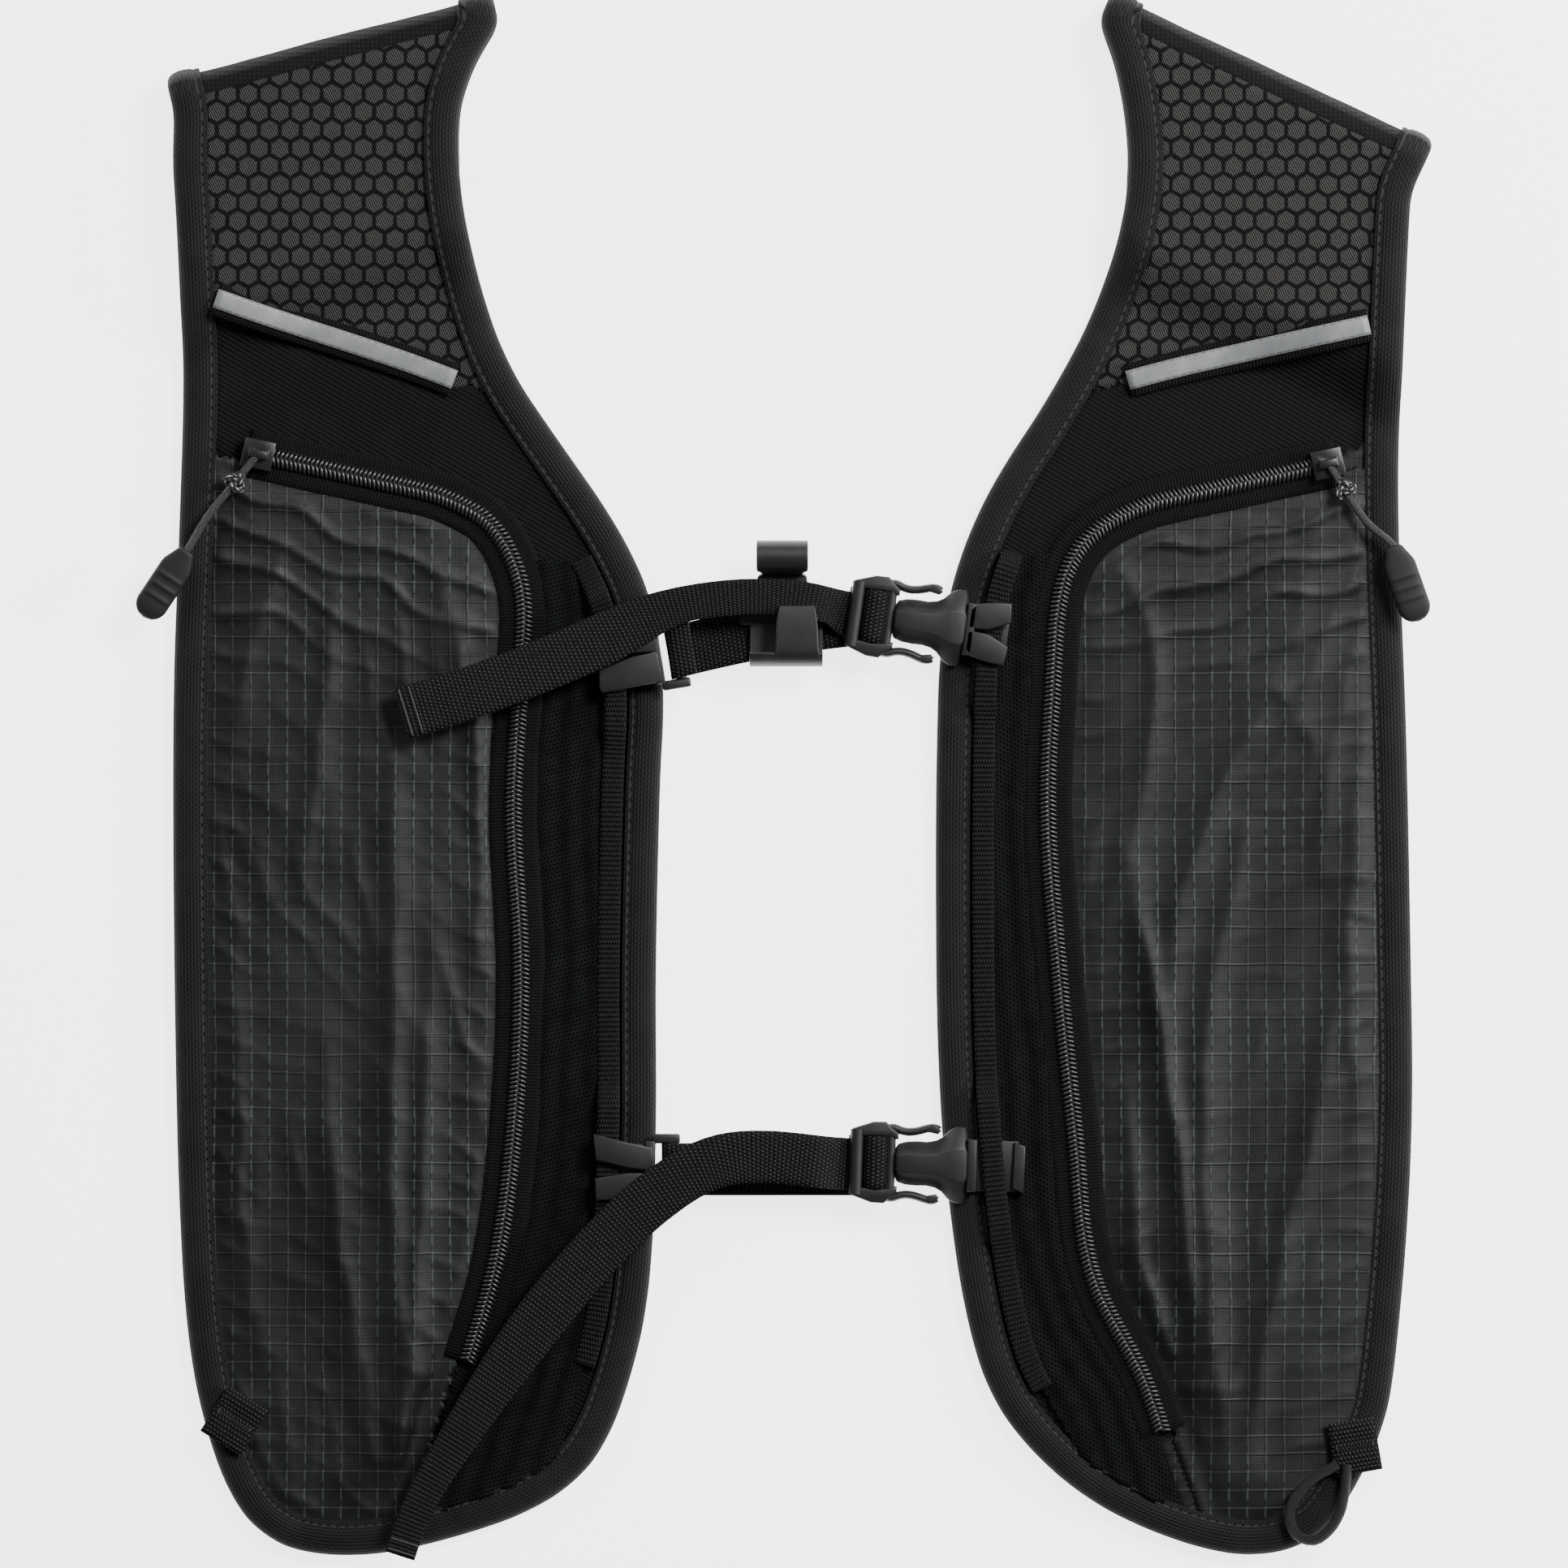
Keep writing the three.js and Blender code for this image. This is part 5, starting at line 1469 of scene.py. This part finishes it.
def female_shell():
    mesh = bmesh.new()
    rings = []
    for x, half, thick in FEMALE_STATIONS:
        rings.append([mesh.verts.new((x, y * half, MIDDLE + z * thick)) for y, z in FEMALE_SECTION])
    count = len(FEMALE_SECTION)
    for a, b in zip(rings, rings[1:]):
        for k in range(count):
            mesh.faces.new((a[k], a[(k + 1) % count], b[(k + 1) % count], b[k]))
    mesh.faces.new(rings[0])
    mesh.faces.new(rings[-1])
    bmesh.ops.recalc_face_normals(mesh, faces=mesh.faces)
    sharp = [e for e in mesh.edges if e.is_manifold and e.calc_face_angle(0) > math.radians(20)]
    bmesh.ops.bevel(mesh, geom=sharp, offset=0.25, affect="EDGES", segments=2, profile=0.5, material=-1,
                    clamp_overlap=True)
    return mesh


def forked_hook(over_rail):
    """The plate that hooks the rail: a forked one over the webbing, or a bar that passes below it."""
    wall = box_solid(18.6, 21.2, -7.5, 7.5, 6.2, 11.5)
    if over_rail:
        upper = outline_solid([(19.2, 0.2), (25.5, 0.6), (31.4, 3.4), (30.8, 9.0), (26, 8.6), (20.6, 7.4),
                               (19.2, 5.8)],
                              9.7, 11.5)
        lower = outline_solid([(19.2, -0.2), (19.2, -5.8), (20.6, -7.4), (26, -8.6), (30.8, -9.0),
                               (31.4, -3.4),
                               (25.5, -0.6)], 9.7, 11.5)
        tongue = box_solid(18.6, 31.0, -7.4, 7.4, 6.2, 7.6)
        return [wall, upper, lower, tongue]
    tongue = box_solid(18.6, 33.2, -7.4, 7.4, 6.2, 7.6)
    lip = outline_solid([(31.6, -6.2), (35.0, -7.6), (35.2, 6.0), (32.0, 7.0)], 6.4, 9.0)
    return [wall, tongue, lip]

# %% [markdown]
# The male half is a ladder frame: two slots and three bars. The webbing comes up through one slot, over the
# middle bar and down through the other. Two springy arms curve round the female half and snap in behind its
# flare.

# %% Male buckles and latch arms
ARM_LINE = [(-4.6, 9.9), (-2.6, 10.0), (-0.6, 9.3), (1.5, 9.0), (4.0, 9.3), (6.4, 10.0), (8.2, 10.4),
            (9.4, 10.2),
            (10.2, 9.7)]


def male_frame():
    rails = []
    for side in (1, -1):
        rails.append(outline_solid([(-15.0, side * 7.5), (-14.4, side * 9.6), (-8.6, side * 11.6),
                                    (-5.0, side * 11.7),
                                    (-3.0, side * 9.9), (-1.3, side * 8.6), (-1.3, side * 6.6),
                                    (-3.6, side * 7.3),
                                    (-6, side * 7.5), (-13, side * 7.4)][::side], 6.9, 10.4, 0.6))
    outer = rod([(-13.2, y, 9.3) for y in (-9.4, -5, 0, 5, 9.4)], 1.9, 0.9)
    middle = rod([(-7.4, y, 8.2) for y in (-9.4, -5, 0, 5, 9.4)], 1.35, 0.9)
    inner = rod([(-3.4, y, 8.8) for y in (-8.8, -5, 0, 5, 8.8)], 1.4, 1.1)
    return joined(rails + [outer, middle, inner])


def latch_arm(side):
    line = smooth_path([Vector((x, y * side, MIDDLE)) for x, y in ARM_LINE], 3)
    arm = rod(line, 1.2, 1.25)
    pad = outline_solid([(6.6, side * 9.2), (7.4, side * 11.4), (9.6, side * 11.3), (10.9, side * 9.5),
                         (9.9, side * 8.6)][::side], 7.0, 10.0, 0.5)
    return joined([arm, pad])


def left_hook(name):
    """The left hook: a notched plate over the rail, a tongue under it and a frame for the webbing's loop."""
    if name == "upper":
        arms = [[(-0.5, 3.4), (8, 1.7), (15.4, 1.2), (15.6, 8.0), (1.2, 5.2)],
                [(-2.0, -1.2), (8, 1.0), (15.4, 1.2), (15.6, -7.6), (-2.2, -8.0), (-2.8, -6.6)]]
    else:
        arms = [[(-1.5, 10.4), (-0.8, 2.8), (8, 0.6), (15.4, -0.4), (15.6, 6.4), (7, 8.2)],
                [(-1.0, -2.4), (8, -0.8), (15.4, -0.8), (15.6, -8), (-0.8, -8.6)]]
    plates = [outline_solid(arm, 9.7, 11.5, 0.55) for arm in arms]
    wall = box_solid(13.4, 16.3, -8.2, 8.2, 6.2, 11.3, 0.5)
    under = box_solid(0.2, 15.6, -7.4, 7.4, 6.2, 7.6)
    rails = [box_solid(15.2, 23.4, side * 8.9 - 1.4, side * 8.9 + 1.4, 6.6, 10.2, 0.7) for side in (1, -1)]
    bar = rod([(21.0, y, 8.5) for y in (-9.6, -5, 0, 5, 9.6)], 1.5)
    return plates + [wall, under, bar] + rails


HOOK_REACH = 19.8       # from a left hook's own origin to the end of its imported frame, in millimetres
for name in ("upper", "lower"):
    turn = math.radians(BUCKLE_TURNS[name])
    origin = local_origin(f"{name}_buckle_female", turn, 0.3)
    female = joined([female_shell()] + forked_hook(name == "upper"))
    placed(female, f"{name}_female", origin, turn, f"{name}_buckle_female", f"{name}_strap")
    placed(male_frame(), f"{name}_male_half", origin, turn, f"{name}_buckle_male", f"{name}_male")
    for arm, side in (("up", 1), ("down", -1)):
        placed(latch_arm(side), f"{name}_arm_{arm}", origin, turn, f"{name}_latch_{arm}",
               f"{name}_latch_{arm}")
    along = Vector((math.cos(turn), math.sin(turn), 0))
    sideways = Vector((-math.sin(turn), math.cos(turn), 0))
    start = Vector((origin.x, origin.y, 0))
    over = [start + along * x * MM + Vector((0, 0, z * MM)) for x, z in (
        (-15.5, 6.1), (-12.6, 6.3), (-11.2, 7.3), (-10.2, 9.0), (-9.0, 10.2), (-7.4, 10.5), (-5.8, 10.2),
        (-4.6, 9.0),
        (-3.8, 7.3), (-3.4, 5.9))]
    wrap = ribbon(f"{name}_bar_web", spaced(smooth_path(over, 4), 0.8 * MM), 15.0 * MM, 1.1 * MM, "webbing",
                  None, across=8, side=sideways, crown=0.1 * MM)
    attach(wrap, f"{name}_male")
    hook_turn = math.radians(WEBBING_TURNS[name])
    ahead = Vector((math.cos(hook_turn), math.sin(hook_turn)))
    points = [v.co.xy for v in nodes[f"{name}_rail_hook"].data.vertices]
    reach = max(p.dot(ahead) for p in points)
    across = Vector((-ahead.y, ahead.x))
    wide = [p.dot(across) for p in points]
    rail_place = ahead * (reach - HOOK_REACH * MM) + across * (min(wide) + max(wide)) / 2
    placed(joined(left_hook(name)), f"{name}_hook", rail_place, hook_turn, f"{name}_rail_hook",
           f"{name}_strap")

# %% [markdown]
# The hose clip is a strip of nylon bent round the strap, made here in four lengths: a broad foot rolled
# under it, a narrower tongue that comes back over, a smaller curl above, and a flat back that joins them.

# %% Hose clip
clip_low, clip_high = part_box("hose_clip")
clip_right = clip_high.x
clip_left = clip_low.x


def arc(y, z, radius, start, end, steps=10):
    return [(y + radius * math.cos(math.radians(start + (end - start) * i / steps)),
             z + radius * math.sin(math.radians(start + (end - start) * i / steps)))
             for i in range(steps + 1)]


def clip_strip(name, profile, x_mid, wide, widths=None):
    line = [Vector((x_mid, clip_low.y + y * MM, z * MM)) for y, z in profile]
    strip = ribbon(name, line, wide * MM, 1.5 * MM, "plastic", None, across=4,
                   side=Vector((1, 0, 0)), widths=widths)
    strip.data.set_sharp_from_angle(angle=math.radians(50))
    bevel = strip.modifiers.new("rims", "BEVEL")
    bevel.width = 0.35 * MM
    bevel.segments = 2
    bevel.limit_method = "ANGLE"
    bevel.angle_limit = math.radians(50)
    apply_modifiers(strip)
    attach(strip, "hose_clip")
    return strip


foot = [(22, 6.85), (12, 6.85)] + arc(4.8, 10.85, 4.05, 270, 100)
foot_piece = clip_strip("clip_foot", foot, clip_right - 10.5 * MM, 21)
tongue = arc(4.8, 10.85, 4.1, 150, 90, 6) + [(7, 15.05), (11, 15.0), (15, 14.85), (17.4, 14.4)]
clip_strip("clip_tongue", tongue, clip_right - 7.4 * MM, 13.0,
                          [1.12, 1.1, 1.08, 1.04, 1.0, 0.98, 0.96, 0.94, 0.92, 0.86, 0.78])
span = (clip_high.y - clip_low.y) / MM
curl = [(span - 22, 6.85), (span - 9.2, 6.9), (span - 8.2, 8.2)] + arc(span - 3.6, 11.0, 3.95, 180, -60)
clip_strip("clip_curl", curl, clip_left + 13.6 * MM, 14.8,
                        [1.2, 0.95, 0.75, 0.85, 1.0] + [1.0] * 9)
back = [(span - 13, 6.85), (span * 0.5, 6.85), (12, 6.85)]
clip_strip("clip_back", back, (clip_left + clip_right) / 2, (clip_right - clip_left) / MM - 3)
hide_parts("hose_clip")

# %% [markdown]
# ## Floor and light
# The vest lies on a pale, faintly glowing board. A soft key light stands above and to the right, a low one
# beside it brings out the weave and the folds, and a weak one fills from the left.

# %% Stage and lights
board = bmesh.new()
bmesh.ops.create_grid(board, x_segments=2, y_segments=2, size=3)
board_data = bpy.data.meshes.new("board")
board.to_mesh(board_data)
board.free()
floor = bpy.data.objects.new("floor", board_data)
floor.location = (0, 0, -0.6 * MM)
bpy.context.scene.collection.objects.link(floor)
pale = bpy.data.materials.new("pale board")
pale.use_nodes = True
pale.node_tree.nodes["Principled BSDF"].inputs["Base Color"].default_value = (0.92, 0.92, 0.92, 1)
pale.node_tree.nodes["Principled BSDF"].inputs["Roughness"].default_value = 0.9
board_data.materials.append(pale)
pale.node_tree.nodes["Principled BSDF"].inputs["Emission Strength"].default_value = 3.4
pale.node_tree.nodes["Principled BSDF"].inputs["Emission Color"].default_value = (1, 1, 1, 1)


def soft_light(name, place, size, power):
    light = bpy.data.lights.new(name, "AREA")
    light.shape = "DISK"
    light.size = size
    light.energy = power
    holder = bpy.data.objects.new(name, light)
    holder.location = place
    holder.rotation_euler = (-Vector(place)).to_track_quat("-Z", "Y").to_euler()
    bpy.context.scene.collection.objects.link(holder)


soft_light("key", (1.0, 0.9, 1.5), 0.7, 46)
soft_light("raking", (1.5, 0.2, 0.55), 0.4, 14)
soft_light("fill", (-1.2, 1.3, 1.2), 0.8, 12)
world = bpy.data.worlds.new("soft sky")
world.use_nodes = True
world.node_tree.nodes["Background"].inputs["Color"].default_value = (1, 1, 1, 1)
world.node_tree.nodes["Background"].inputs["Strength"].default_value = 0.16
bpy.context.scene.world = world

for side, panel in panels.items():
    low = panel.pocket.bound_box[0]
    spread = panel.pocket.dimensions
    wide, tall = max(spread.x, 0.02), max(spread.y, 0.02)
